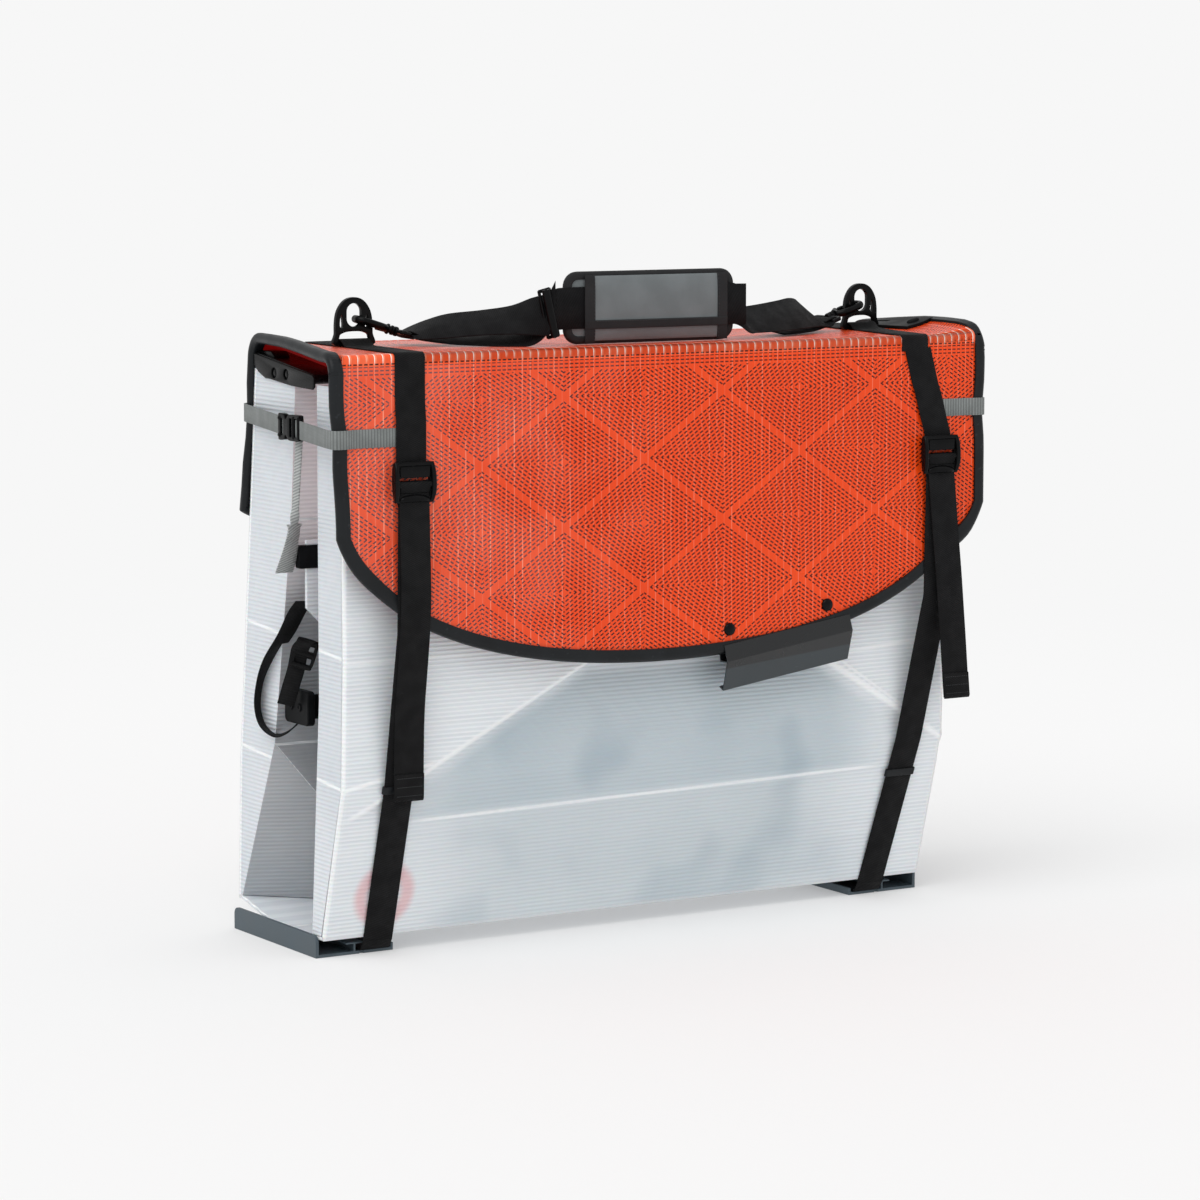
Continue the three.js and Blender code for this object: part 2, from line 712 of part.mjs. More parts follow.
// Keeper channel under the lower edge of the front flap: a lip over the trim, a web under it,
// a leg up behind the board for the rivets, and a slanting leg below with a hooked foot
function keeperFrame() {
  const run = flapRun(coverHalf, flapSide, flapDrop);
  const i = run.findIndex(([u]) => u > keeperOffset);
  const [[u0, v0], [u1, v1]] = [run[i - 1], run[i]];
  const slope = Math.atan2(v1 - v0, u1 - u0);
  const height = v0 + ((v1 - v0) * (keeperOffset - u0)) / (u1 - u0);
  const sag = flapDrop * (1 - Math.cos(slope)) + 2 * gap;
  const frame = new THREE.Group();
  frame.position.set(keeperOffset, 0, coverTop + height - sag);
  frame.rotation.y = -slope;
  return frame;
}

function keeper() {
  const lip = -keeperFace;
  const bend = lip - keeperReach;
  const inner = -keeperFace + trimThickness + 2 * gap;
  const leg = -coverFront + coverBoard + gap;
  const top = keeperRivetRise + 2 * rivetRadius;
  const outer = [[lip, keeperLip], [bend, 0], [bend + keeperFootReturn, -keeperDrop],
    [bend + keeperFootReturn + keeperHook, -keeperDrop + keeperHook / 2]];
  const parts = [
    band(outer, 0, -keeperWall),
    rectangle(bend - keeperWall / 2, -keeperWall, inner + keeperWall, 0),
    rectangle(inner, -keeperWall, inner + keeperWall, keeperShelf + keeperWall),
    rectangle(leg, keeperShelf, inner + keeperWall, keeperShelf + keeperWall),
    rectangle(leg, keeperShelf, leg + keeperWall, top),
  ].map((part) => slab('x', part, -keeperLength / 2, keeperLength / 2));
  const frame = keeperFrame();
  frame.add(piece('keeper_channel', join(...parts), finishes.rail));
  rivetPlaces.forEach((place, i) => {
    const profile = [[0, 0], [rivetRadius, 0], [rivetRadius * 0.85, rivetHead / 2],
      [rivetRadius / 2, rivetHead * 0.9], [0, rivetHead]].map(([r, h]) => new THREE.Vector2(r, h));
    const head = new THREE.LatheGeometry(profile, 3 * arcSteps).rotateX(Math.PI);
    frame.add(piece(`keeper_rivet_${i + 1}`, head, finishes.plastic, (mesh) => {
      mesh.position.set(place, -coverFront - gap, keeperRivetRise);
    }));
  });
  return frame;
}

// Webbing straps round the box

function strapPlaces(side) {
  const insets = strapInsets[sideName(side)];
  const places = Object.entries(insets).map(([place, inset]) => [place, side * (railHalf - inset)]);
  return Object.fromEntries(places);
}

const backFlapFace = (height) => coverBack + (coverTop - height) * Math.tan(backFlapLean);

// From the front edge of the rail, under the hull, up the back and over the top
function rearStrap(side) {
  const at = strapPlaces(side);
  const out = gap + webbing / 2;
  const behind = railEdge + out;
  const high = coverTop + out;
  const climb = (height) => at.rail + ((at.back - at.rail) * height) / coverTop;
  const route = [
    vec(at.rail, -railEdge + out, strapChannelRise),
    vec(at.rail, behind, strapChannelRise),
    vec(at.rail, behind, backFootHeight),
    vec(climb(lowCrease), backLowDepth + out, lowCrease),
    vec(climb(midCrease), backMidDepth + out, midCrease),
    vec(climb(backKneeFoot), along(backLine, backKneeFoot) + out, backKneeFoot),
    vec(climb(backKnee), backFlapFace(backKnee) + trimWall + 2 * gap + out, backKnee),
    vec(at.back, coverBack + 2 * out + trimWall, high),
    vec(at.ring, -ringDepth + humpRun, high),
    vec(at.ring, -ringDepth + humpHalf, coverTop + humpRise),
    vec(at.ring, -ringDepth - humpHalf, coverTop + humpRise),
    vec(at.ring, -ringDepth - humpRun, high),
    vec(at.crease, -coverFront, high),
  ];
  return piece(`strap_rear_${sideName(side)}`, ribbon(route, strapWidth, webbing), finishes.webbing);
}

const buckleMiddle = (buckleFront * 2 - buckleBar) / 2;
const buckleAxis = buckleTop - buckleBar / 2;

// Down the front flap to the ladder buckle, and round the buckle's top bar
function upperStrap(side) {
  const at = strapPlaces(side);
  const out = gap + webbing / 2;
  const face = -coverFront - out;
  const half = buckleBar / 2 + loopSlack + webbing / 2;
  const drop = coverTop - buckleAxis;
  const slope = (height) => at.crease + ((at.buckle - at.crease) * (coverTop - height)) / drop;
  const route = [
    vec(at.crease, face, hingeHeight - gap / 2),
    vec(slope(buckleTop + loopHem), face, buckleTop + loopHem),
    vec(at.buckle, -buckleMiddle + half, buckleTop + gap),
    vec(at.buckle, -buckleMiddle + half, buckleAxis - half),
    vec(at.buckle, -buckleMiddle - half, buckleAxis - half),
    vec(at.buckle, -buckleMiddle - half, buckleTop + loopHem / 2),
  ];
  return piece(`strap_upper_${sideName(side)}`, ribbon(route, strapWidth, webbing), finishes.webbing);
}

// From the front edge of the rail up to the ladder buckle
function lowerStrapRoute(side) {
  const at = strapPlaces(side);
  const out = gap + webbing / 2;
  const mix = (height) => at.rail + ((at.buckle - at.rail) * Math.min(height, strapKnee)) / strapKnee;
  return [
    vec(at.rail, -railEdge - out, railPlate + gap),
    vec(at.rail, -frontFoot - strapClear, frontFootHeight),
    vec(mix(lowCrease), -frontLowDepth - strapClear, lowCrease),
    vec(mix(strapKnee), -coverFront - trimWall - 2 * gap - out, strapKnee),
    vec(at.buckle, -buckleMiddle, buckleFoot - gap),
  ];
}

function lowerStrap(side) {
  const strip = ribbon(lowerStrapRoute(side), strapWidth, webbing);
  return piece(`strap_lower_${sideName(side)}`, strip, finishes.webbing);
}

// The free end of the webbing, in front of the lower strap or hanging from the buckle
function strapTail(side) {
  const lower = lowerStrapRoute(side);
  const ahead = vec(0, -webbing - tailStandoff, 0);
  const top = lower[4].clone().add(ahead);
  const knee = lower[3].clone().add(ahead);
  let route = [top, knee, vec(top.x + tailDriftRight, top.y, coverTop - tailDropRight)];
  if (side > 0) route = [top, vec(top.x + tailDriftRight, top.y, coverTop - tailDropRight)];
  if (side < 0) {
    const crease = lower[2].clone().add(ahead.clone().multiplyScalar(0.6));
    const share = (tailEndLeft - lower[1].z) / (lower[2].z - lower[1].z);
    const end = lower[1].clone().lerp(lower[2], share).add(ahead.clone().multiplyScalar(0.6));
    route = [top, knee, crease, end];
  }
  return piece(`strap_tail_${sideName(side)}`, ribbon(route, strapWidth, webbing), finishes.webbing);
}

// An elastic band round the lower strap, and round its tail on the left
function strapBand(side) {
  const height = side < 0 ? bandHeightLeft : bandHeightRight;
  const lower = lowerStrapRoute(side);
  const share = (height - lower[1].z) / (lower[2].z - lower[1].z);
  const centre = lower[1].clone().lerp(lower[2], share);
  const tilt = Math.atan2(lower[1].y - lower[2].y, lower[2].z - lower[1].z);
  const back = webbing / 2 + gap;
  const front = side < 0 ? 2 * webbing + tailStandoff + gap : back;
  const half = strapWidth / 2 + 2 * gap;
  const wall = keeperBandWall;
  const outer = rectangle(-half - wall, -front - wall, half + wall, back + wall);
  const inner = rectangle(-half, -front, half, back);
  const ring = slab('z', outer, -keeperBandHeight / 2, keeperBandHeight / 2, [inner]);
  return piece(`strap_keeper_${sideName(side)}`, ring, finishes.webbing, (mesh) => {
    mesh.position.copy(centre);
    mesh.rotation.x = tilt;
  });
}

// Ladder buckle: a frame with two openings and a grip along its foot
function ladderBuckle(side) {
  const { buckle } = strapPlaces(side);
  const half = buckleWidth / 2;
  const frame = rectangle(buckle - half, buckleFoot, buckle + half, buckleTop, buckleRound);
  const inner = half - buckleSideBar;
  const high = buckleTop - buckleBar;
  const low = buckleFoot + 2 * buckleBar;
  const middle = (high + low) / 2;
  const windows = [rectangle(buckle - inner, middle + buckleBar / 2, buckle + inner, high),
    rectangle(buckle - inner, low, buckle + inner, middle - buckleBar / 2)];
  const plate = slab('y', frame, -buckleFront, -buckleFront + buckleBar, windows);
  const gripOutline = [[-buckleFront + gap, buckleFoot],
    [-buckleFront - buckleGrip, buckleFoot + buckleBar / 2], [-buckleFront - buckleGrip / 2, low],
    [-buckleFront + gap, low]];
  const grip = slab('x', gripOutline, buckle - half + buckleRound, buckle + half - buckleRound);
  return piece(`strap_buckle_${sideName(side)}`, join(plate, grip), finishes.plastic);
}

// Carry handle: rings, snap hooks, shoulder strap, pad and slider

const ringHeightAt = coverTop + ringRise;

function carryRing(side) {
  const inner = strapWidth / 2 + 3 * gap;
  const outer = inner + ringLeg;
  const crown = arc(0, ringShoulder, outer, 0, Math.PI, 3 * arcSteps)
    .map(([u, v]) => [u, ringShoulder + ((v - ringShoulder) * (ringHeight - ringShoulder)) / outer]);
  const outline = [[-outer, -ringBar / 2], [outer, -ringBar / 2], ...crown];
  const holeHalf = ringHoleWidth / 2;
  const hole = rectangle(-holeHalf, ringHoleLow, holeHalf, ringHoleHigh, holeHalf * 0.8);
  const window = [[-inner, ringBar / 2], [inner, ringBar / 2], [inner, ringWindowHigh * 0.75],
    [inner * 0.6, ringWindowHigh], [-inner * 0.6, ringWindowHigh], [-inner, ringWindowHigh * 0.75]];
  const ring = slab('y', outline, -ringBar / 2, ringBar / 2, [hole, window]);
  return piece(`ring_${sideName(side)}`, ring, finishes.plastic, (mesh) => {
    mesh.position.set(strapPlaces(side).ring, -ringDepth, ringHeightAt);
  });
}

// A hook is drawn pointing along +X from the middle of its nose bar
function hookFrame(side) {
  const frame = new THREE.Group();
  frame.position.set(strapPlaces(side).ring, -ringDepth, coverTop + hookRise);
  frame.rotation.order = 'ZYX';
  frame.rotation.z = side < 0 ? -hookYaw : Math.PI + hookYaw;
  frame.rotation.y = hookPitch;
  return frame;
}

const hookNose = hookNoseAhead - hookBar / 2;
const hookEnd = hookNose + hookLength;
const eyeHalf = hookWidth / 2 - hookBar;

// The gate closes the side of the eye that lies behind the ring
function snapHook(side) {
  const behind = side < 0 ? 1 : -1;
  const half = hookWidth / 2;
  const body = rectangle(hookNose, -half, hookEnd, half, hookBar * 1.6);
  const eye = rectangle(hookNose + hookBar, -eyeHalf, hookEnd - hookBar * 1.4, eyeHalf, hookBar * 0.8);
  const plate = slab('z', body, -hookThickness / 2, hookThickness / 2, [eye]);
  const mouth = gateOutline(behind, gateGap);
  const opening = slab('z', mouth, -hookThickness, hookThickness);
  const shank = new THREE.CylinderGeometry(shankRadius, shankRadius, shankLength, 2 * arcSteps);
  shank.rotateZ(Math.PI / 2).translate(hookEnd - gap + shankLength / 2, 0, 0);
  return piece(`hook_${sideName(side)}`, join(cut(plate, opening), shank), finishes.plastic);
}

// The gate's outline, grown by a margin where it is used as a cutter
function gateOutline(behind, margin) {
  const start = hookNose + hookBar * 1.9 - margin;
  const end = hookEnd - hookBar * 2.4 + margin;
  const near = behind * (eyeHalf + (hookBar - gateBar) / 2 - (margin > 0 ? overrun : 0));
  const far = behind * (eyeHalf + (hookBar + gateBar) / 2 + (margin > 0 ? overrun : 0));
  return rectangle(start, Math.min(near, far), end, Math.max(near, far));
}

function hookGate(side) {
  const behind = side < 0 ? 1 : -1;
  const half = hookThickness / 2 - gap;
  const gate = slab('z', gateOutline(behind, 0), -half, half);
  return piece(`hook_gate_${sideName(side)}`, gate, finishes.plastic);
}

// The eye that holds the webbing and lets the hook turn
function hookSwivel(side) {
  const start = hookEnd - gap + shankLength + gap;
  const half = swivelWidth / 2;
  const outline = rectangle(start, -half, start + swivelLength, half, swivelBar);
  const end = start + swivelLength - swivelBar;
  const opening = rectangle(start + swivelBar, -half + swivelBar, end, half - swivelBar);
  const frame = slab('z', outline, -swivelThickness / 2, swivelThickness / 2, [opening]);
  return piece(`hook_swivel_${sideName(side)}`, frame, finishes.plastic);
}

function hookAssembly(side) {
  const frame = hookFrame(side);
  frame.add(snapHook(side), hookGate(side), hookSwivel(side));
  return frame;
}

// Where the webbing leaves each swivel, and the way it points there
function swivelExit(side) {
  const frame = hookFrame(side);
  frame.updateMatrixWorld(true);
  const reach = hookEnd + shankLength + swivelLength + gap + webbing;
  const at = vec(reach, 0, 0).applyMatrix4(frame.matrixWorld);
  const across = vec(0, 1, 0).transformDirection(frame.matrixWorld);
  return { at, across: across.y < 0 ? across.negate() : across };
}

const padBack = padFront - padThickness;
const shoulderDepth = padBack - gap - webbing / 2;
const padHeightAt = coverTop + padHeight / 2 + 2 * gap;
// Route of the strap beside the pad, from the swivel inwards: shares of the way in X, in Y and of its width
const shoulderShares = [
  { way: 0.2, depth: 0.22, rise: 0.3, stand: 0.35 },
  { way: 0.45, depth: 0.5, rise: 0.56, stand: 0.85 },
  { way: 0.75, depth: 0.85, rise: 0.62, stand: 1 },
];

function shoulderStrap() {
  const upright = vec(0, 0, 1);
  const route = [];
  const across = [];
  const padSide = padWidth / 2;
  for (const side of [-1, 1]) {
    const exit = swivelExit(side);
    const inner = vec(side * (padSide + shoulderStraight), -shoulderDepth, padHeightAt);
    const run = [{ point: exit.at, lie: exit.across }];
    for (const { way, depth, rise, stand } of shoulderShares) {
      const x = exit.at.x + (inner.x - exit.at.x) * way;
      const y = exit.at.y + (inner.y - exit.at.y) * depth;
      const lie = exit.across.clone().lerp(upright, stand);
      run.push({ point: vec(x, y, coverTop + shoulderWidth * rise), lie });
    }
    const last = vec(side * padSide, -shoulderDepth, padHeightAt);
    run.push({ point: inner, lie: upright }, { point: last, lie: upright });
    if (side > 0) run.reverse();
    route.push(...run.map(({ point }) => point));
    across.push(...run.map(({ lie }) => lie));
  }
  return piece('shoulder_strap', ribbon(route, shoulderWidth, webbing, across), finishes.webbing);
}

// A crowned pad with round corners; its two sleeves go round the webbing behind it
function shoulderPad() {
  const points = [];
  const halfWidth = padWidth / 2;
  const halfHeight = padHeight / 2;
  const reach = (u, v) => {
    const [a, b] = [Math.abs(u), Math.abs(v)];
    const spread = 1 - (padRound / halfHeight) * (a * a * b * b);
    return [u * halfWidth * (1 - (padRound / halfWidth) * a * a * b * b), v * halfHeight * spread];
  };
  for (const face of [-1, 1]) {
    for (let row = 0; row <= padRows; row += 1) {
      for (let column = 0; column <= padColumns; column += 1) {
        const [u, v] = [(2 * column) / padColumns - 1, (2 * row) / padRows - 1];
        const [x, z] = reach(u, v);
        const crown = (1 - u ** 6) * (1 - v ** 4);
        const depth = padEdge / 2 + (face < 0 ? (padThickness - padEdge) * crown : 0);
        points.push(vec(x, face * depth, z));
      }
    }
  }
  const columns = padColumns + 1;
  const layer = columns * (padRows + 1);
  const triangles = [];
  const quad = (a, b, c, d) => triangles.push([a, b, c], [a, c, d]);
  for (let row = 0; row < padRows; row += 1) {
    for (let column = 0; column < padColumns; column += 1) {
      const a = row * columns + column;
      quad(a, a + 1, a + columns + 1, a + columns);
      quad(layer + a + columns, layer + a + columns + 1, layer + a + 1, layer + a);
    }
  }
  for (let column = 0; column < padColumns; column += 1) {
    const top = padRows * columns + column;
    quad(layer + column, layer + column + 1, column + 1, column);
    quad(top, top + 1, layer + top + 1, layer + top);
  }
  for (let row = 0; row < padRows; row += 1) {
    const a = row * columns;
    const b = a + padColumns;
    quad(a, a + columns, layer + a + columns, layer + a);
    quad(b + columns, b, layer + b, layer + b + columns);
  }
  const cushion = closedBody(points, triangles);
  const inner = padEdge / 2;
  const sleeves = [-1, 1].map((side) => {
    const far = side * (halfWidth - sleeveInset);
    const near = far - side * sleeveWidth;
    const room = webbing + 2 * gap;
    const outline = rectangle(inner - gap, -sleeveHeight / 2, inner + room + sleeveWall, sleeveHeight / 2);
    const opening = rectangle(inner, -shoulderWidth / 2 - 2 * gap, inner + room, shoulderWidth / 2 + 2 * gap);
    return slab('x', outline, Math.min(near, far), Math.max(near, far), [opening]);
  });
  return piece('shoulder_pad', join(cushion, ...sleeves), finishes.pad, (mesh) => {
    mesh.position.set(0, -padBack - padEdge / 2, padHeightAt);
  });
}

// The slider lies on the webbing, with its two openings on either side of the middle bar
function strapSlider() {
  const half = sliderHeight / 2;
  const outline = rectangle(-sliderWidth / 2, -half, sliderWidth / 2, half, sliderBar);
  const inner = half - sliderBar;
  const windows = [-1, 1].map((side) => {
    const near = (side * sliderBar) / 2;
    const far = side * (sliderWidth / 2 - sliderBar);
    return rectangle(Math.min(near, far), -inner, Math.max(near, far), inner);
  });
  const frame = slab('y', outline, 0, sliderThickness / 2, windows);
  return piece('strap_slider', frame, finishes.plastic, (mesh) => {
    mesh.position.set(-sliderPlace, -shoulderDepth - webbing / 2 - gap - sliderThickness / 2, padHeightAt);
  });
}

// Grey belts round the two ends

const beltOut = coverHalf + gap + beltWebbing / 2;

function sideBelts(side) {
  const up = vec(0, 0, 1);
  const face = -coverFront - (trimThickness - coverBoard) / 2 - gap - beltWebbing / 2;
  const rear = backFlapFace(beltHeight - beltWidth / 2) + trimWall + 2 * gap + gap + beltWebbing / 2;
  const at = strapPlaces(side);
  const lean = (coverTop - beltHeight) / (coverTop - buckleAxis);
  const frontEnd = at.crease + (at.buckle - at.crease) * lean + side * (strapWidth / 2 + beltWebbing);
  const climb = ((at.back - at.rail) * beltHeight) / coverTop;
  const backEnd = at.rail + climb + side * (strapWidth / 2 + beltWebbing);
  const endGapHalf = beltBuckleLength / 2 + gap;
  const front = [vec(frontEnd, face, beltHeight), vec(side * beltOut, face, beltHeight),
    vec(side * beltOut, -beltBuckleDepth - endGapHalf, beltHeight)];
  const back = [vec(side * beltOut, -beltBuckleDepth + endGapHalf, beltHeight),
    vec(side * beltOut, rear, beltHeight), vec(backEnd, rear, beltHeight)];
  return [
    piece(`belt_front_${sideName(side)}`, ribbon(front, beltWidth, beltWebbing, up), finishes.belt),
    piece(`belt_rear_${sideName(side)}`, ribbon(back, beltWidth, beltWebbing, up), finishes.belt),
    beltBuckle(side),
    beltTail(side),
  ];
}

function beltBuckle(side) {
  const half = beltBuckleLength / 2;
  const rise = beltBuckleHeight / 2;
  const outline = rectangle(-beltBuckleDepth - half, beltHeight - rise,
    -beltBuckleDepth + half, beltHeight + rise, beltBuckleBar);
  const inner = rise - beltBuckleBar;
  const windows = [-1, 1].map((end) => {
    const near = -beltBuckleDepth + (end * beltBuckleBar) / 2;
    const far = -beltBuckleDepth + end * (half - beltBuckleBar);
    return rectangle(Math.min(near, far), beltHeight - inner, Math.max(near, far), beltHeight + inner);
  });
  const from = side * beltOut - beltBuckleThickness / 2;
  return piece(`belt_buckle_${sideName(side)}`, slab('x', outline, from, from + beltBuckleThickness, windows),
    finishes.plastic);
}

// The end of the belt hangs from its buckle and turns on its way down
function beltTail(side) {
  const top = beltHeight - beltBuckleHeight / 2 - gap;
  const x = side * (beltOut - beltTailInset);
  const steps = 2 * arcSteps;
  const route = [];
  const across = [];
  for (let i = 0; i <= steps; i += 1) {
    const share = i / steps;
    const angle = beltTailYaw + beltTailTurn * (1 - share);
    route.push(vec(x, -beltBuckleDepth + beltTailDrift * share * share, top - beltTailDrop * share));
    across.push(vec(Math.cos(angle), side * Math.sin(angle), 0));
  }
  return piece(`belt_tail_${sideName(side)}`, ribbon(route, beltWidth, beltWebbing, across), finishes.belt);
}

// Brackets between the hull and the cover, with two rivet pockets and a slot
function endBracket(side) {
  const low = hullTop + gap;
  const high = coverUnder - gap;
  const outline = [[-bracketFront, low], [bracketBack - bracketChamfer, low],
    [bracketBack, low + bracketChamfer * 0.7], [bracketBack, high],
    [-bracketFront, low + bracketFrontHeight]];
  const outer = hullHalf;
  const span = [side * outer, side * (outer - bracketLength)].sort((a, b) => a - b);
  const tools = [0.35, 0.55].map((share) => {
    const depth = bracketBack - (bracketBack + bracketFront) * share;
    const length = 2 * bracketPocketDepth;
    const pocket = new THREE.CylinderGeometry(bracketPocket, bracketPocket, length, 2 * arcSteps);
    return pocket.rotateZ(Math.PI / 2).translate(side * outer, depth, low + bracketFrontHeight * 0.6);
  });
  const slot = rectangle(-bracketFront + bracketSlotDepth, low + bracketSlotDepth,
    -bracketFront + 3 * bracketSlotDepth, low + bracketFrontHeight - bracketSlotDepth);
  tools.push(slab('x', slot, side * outer - bracketSlotDepth, side * outer + bracketSlotDepth));
  return piece(`end_bracket_${sideName(side)}`, cut(slab('x', outline, ...span), ...tools), finishes.plastic);
}

// Plate on top of the cover beside the right strap
function topPlate() {
  const right = coverHalf - trimWidth - 2 * gap;
  const left = strapPlaces(1).ring + strapWidth / 2 + ringLeg + 6 * gap;
  const outline = rectangle(left, -plateFront, right, -plateBack, plateRound * 0.6);
  const centre = (left + right) / 2;
  const slotHalf = plateSlotLength / 2;
  const slot = rectangle(centre - plateSlotWidth / 2, -plateBack - slotHalf * 3, centre + plateSlotWidth / 2,
    -plateBack - slotHalf);
  const low = coverTop + gap;
  const plate = slab('z', outline, low, low + plateThickness, [slot]);
  const rise = plateStudHeight + plateThickness;
  const stud = new THREE.CylinderGeometry(plateStud, plateStud, rise, 2 * arcSteps);
  stud.rotateX(Math.PI / 2).translate(centre, -plateFront + plateRound * 1.5, low + rise / 2);
  return piece('top_plate', join(plate, stud), finishes.plastic);
}

// Seat parts, stowed between the stacks

function seatParts() {
  const back = -seatBackFront + seatSheet;
  const foot = restOver(-seatBackFront, back);
  const outline = [[-seatBackLeft, seatBackStep], [-seatBackLeft, seatBackTop], [-seatBackRight, seatBackTop],
    [-seatBackRight, foot], [-seatBackNotch, foot],
    [-seatBackNotch, seatBackStep - (seatBackLeft - seatBackNotch)]];
  const seatBack = slab('y', [...outline].reverse(), -seatBackFront, back);
  const capOuter = rectangle(-seatBackLeft - capWall - gap, seatBackTop - capHeight,
    -seatBackLeft + capLength, seatBackTop + capWall + gap, capWall);
  const capRoom = rectangle(-seatBackLeft - gap, seatBackTop - capHeight - overrun,
    -seatBackLeft + capLength + overrun, seatBackTop + gap);
  const cap = cut(slab('y', capOuter, -seatBackFront - capWall - gap, back + capWall + gap),
    slab('y', capRoom, -seatBackFront - gap, back + gap));
  const panFront = back + gap;
  const panFoot = restOver(panFront, panFront + panThickness);
  const pan = slab('y', rectangle(-panLeft, panFoot, panRight, panFoot + panHeight, panRound), panFront,
    panFront + panThickness);
  const bowBack = -seatBackFront - gap;
  const bowFoot = restOver(bowBack - bulkheadSheet, bowBack);
  const bowOutline = rectangle(bowBulkheadLeft, bowFoot, hullHalf - bowBulkheadInset,
    bowFoot + bulkheadHeight, panRound);
  const bow = slab('y', bowOutline, bowBack - bulkheadSheet, bowBack);
  const sternFoot = restOver(-sternBulkheadDepth, -sternBulkheadDepth + bulkheadSheet);
  const sternOutline = rectangle(sternBulkheadLeft, sternFoot, hullHalf - sternBulkheadInset,
    sternFoot + bulkheadHeight, panRound);
  const stern = slab('y', sternOutline, -sternBulkheadDepth, -sternBulkheadDepth + bulkheadSheet);
  return [
    piece('seat_back', seatBack, finishes.hull),
    piece('seat_back_cap', cap, finishes.plastic),
    piece('seat_pan', pan, finishes.foam),
    piece('bulkhead_bow', bow, finishes.hull),
    piece('bulkhead_stern', stern, finishes.hull),
    footrest(back),
    ...seatStraps(back),
  ];
}

// A moulded plate that shows at the left end, on an arm along the seat back
function footrest(back) {
  const outer = -seatBackLeft - gap;
  const plate = slab('x', rectangle(-footrestFront, footrestLow, -footrestFront + footrestDepth, footrestHigh,
    footrestRound), outer - footrestThickness / 2, outer + footrestThickness / 2);
  const arm = slab('x', rectangle(back + gap, footrestLow + footrestRound, back + gap + footrestArmWall,
    footrestHigh - footrestRound), outer, outer + footrestArm);
  return piece('footrest', join(plate, arm), finishes.plastic);
}

// The seat's webbing loops out at the left end; its buckle and loose end hang on the footrest
const seatLoopShares = [
  [0.985, -0.56, 0.84], [1.0, -0.47, 0.82], [1.018, -0.3, 0.765], [1.032, -0.1, 0.71], [1.034, 0.12, 0.645],
  [1.036, 0.28, 0.565], [1.034, 0.22, 0.51], [1.03, -0.02, 0.485], [1.01, -0.3, 0.495], [0.985, -0.44, 0.52],
];

function seatStraps(back) {
  const route = seatLoopShares.map(([out, depth, height]) => (
    vec(-out * hullHalf, depth * backFoot, height * seatBackTop)));
  const angles = route.map((_, i) => (i === 0 || i === route.length - 1 ? 0.5 : 1));
  const across = angles.map((angle) => vec(Math.cos(angle), Math.sin(angle), 0));
  const outer = -seatBackLeft - gap - footrestThickness / 2;
  const hang = outer - gap - seatStrapWebbing / 2;
  const centre = (-footrestFront + back) / 2 + seatBuckleBar;
  const endTop = footrestHigh + footrestRound;
  const tail = [vec(hang, centre, endTop), vec(hang, centre, footrestLow + footrestRound)];
  const low = endTop + gap;
  const frame = rectangle(centre - seatBuckleWidth / 2, low, centre + seatBuckleWidth / 2,
    low + seatBuckleHeight, seatBuckleBar);
  const window = rectangle(centre - seatStrapWidth / 2, low + 2 * seatBuckleBar, centre + seatStrapWidth / 2,
    low + seatBuckleHeight - seatBuckleBar);
  return [
    piece('seat_strap', ribbon(route, seatStrapWidth, seatStrapWebbing, across), finishes.webbing),
    piece('seat_strap_end', ribbon(tail, seatStrapWidth, seatStrapWebbing, vec(0, 1, 0)), finishes.webbing),
    piece('seat_buckle', slab('x', frame, hang - seatBuckleThickness / 2, hang + seatBuckleThickness / 2,
      [window]), finishes.plastic),
  ];
}

// The whole, set so that the middle of its box stands on the origin
const kayak = new THREE.Group();
kayak.position.y = originShift;
kayak.add(...hull(), ...cover(), keeper());
for (const side of [-1, 1]) {
  kayak.add(rail(side), rearStrap(side), upperStrap(side), lowerStrap(side));
  kayak.add(strapTail(side), strapBand(side), ladderBuckle(side), carryRing(side));
  kayak.add(hookAssembly(side), endBracket(side), ...sideBelts(side));
}
kayak.add(shoulderStrap(), shoulderPad(), strapSlider(), topPlate(), ...seatParts());

export default kayak;
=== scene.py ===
import json
import math

import bmesh
import bpy
from mathutils import Matrix, Vector, noise

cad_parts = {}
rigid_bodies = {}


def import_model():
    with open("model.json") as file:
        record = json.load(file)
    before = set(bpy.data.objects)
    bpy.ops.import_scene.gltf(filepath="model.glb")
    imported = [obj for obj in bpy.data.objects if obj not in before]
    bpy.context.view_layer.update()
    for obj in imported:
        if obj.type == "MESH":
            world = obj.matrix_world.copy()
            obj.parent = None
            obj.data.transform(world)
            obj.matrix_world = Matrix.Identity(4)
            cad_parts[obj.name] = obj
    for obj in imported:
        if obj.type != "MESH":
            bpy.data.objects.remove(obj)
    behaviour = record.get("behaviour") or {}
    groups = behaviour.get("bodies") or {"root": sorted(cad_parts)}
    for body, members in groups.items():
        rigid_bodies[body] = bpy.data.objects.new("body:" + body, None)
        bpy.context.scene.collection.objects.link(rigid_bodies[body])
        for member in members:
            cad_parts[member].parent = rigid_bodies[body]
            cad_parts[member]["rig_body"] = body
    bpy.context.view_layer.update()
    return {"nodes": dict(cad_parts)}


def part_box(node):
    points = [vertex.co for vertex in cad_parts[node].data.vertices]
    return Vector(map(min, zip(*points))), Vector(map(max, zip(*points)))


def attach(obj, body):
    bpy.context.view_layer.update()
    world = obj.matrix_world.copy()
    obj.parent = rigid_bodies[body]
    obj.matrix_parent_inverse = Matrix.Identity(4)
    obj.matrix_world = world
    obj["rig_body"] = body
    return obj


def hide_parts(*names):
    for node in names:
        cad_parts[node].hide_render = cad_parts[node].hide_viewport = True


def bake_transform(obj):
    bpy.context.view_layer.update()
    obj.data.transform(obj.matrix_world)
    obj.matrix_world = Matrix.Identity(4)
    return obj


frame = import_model()
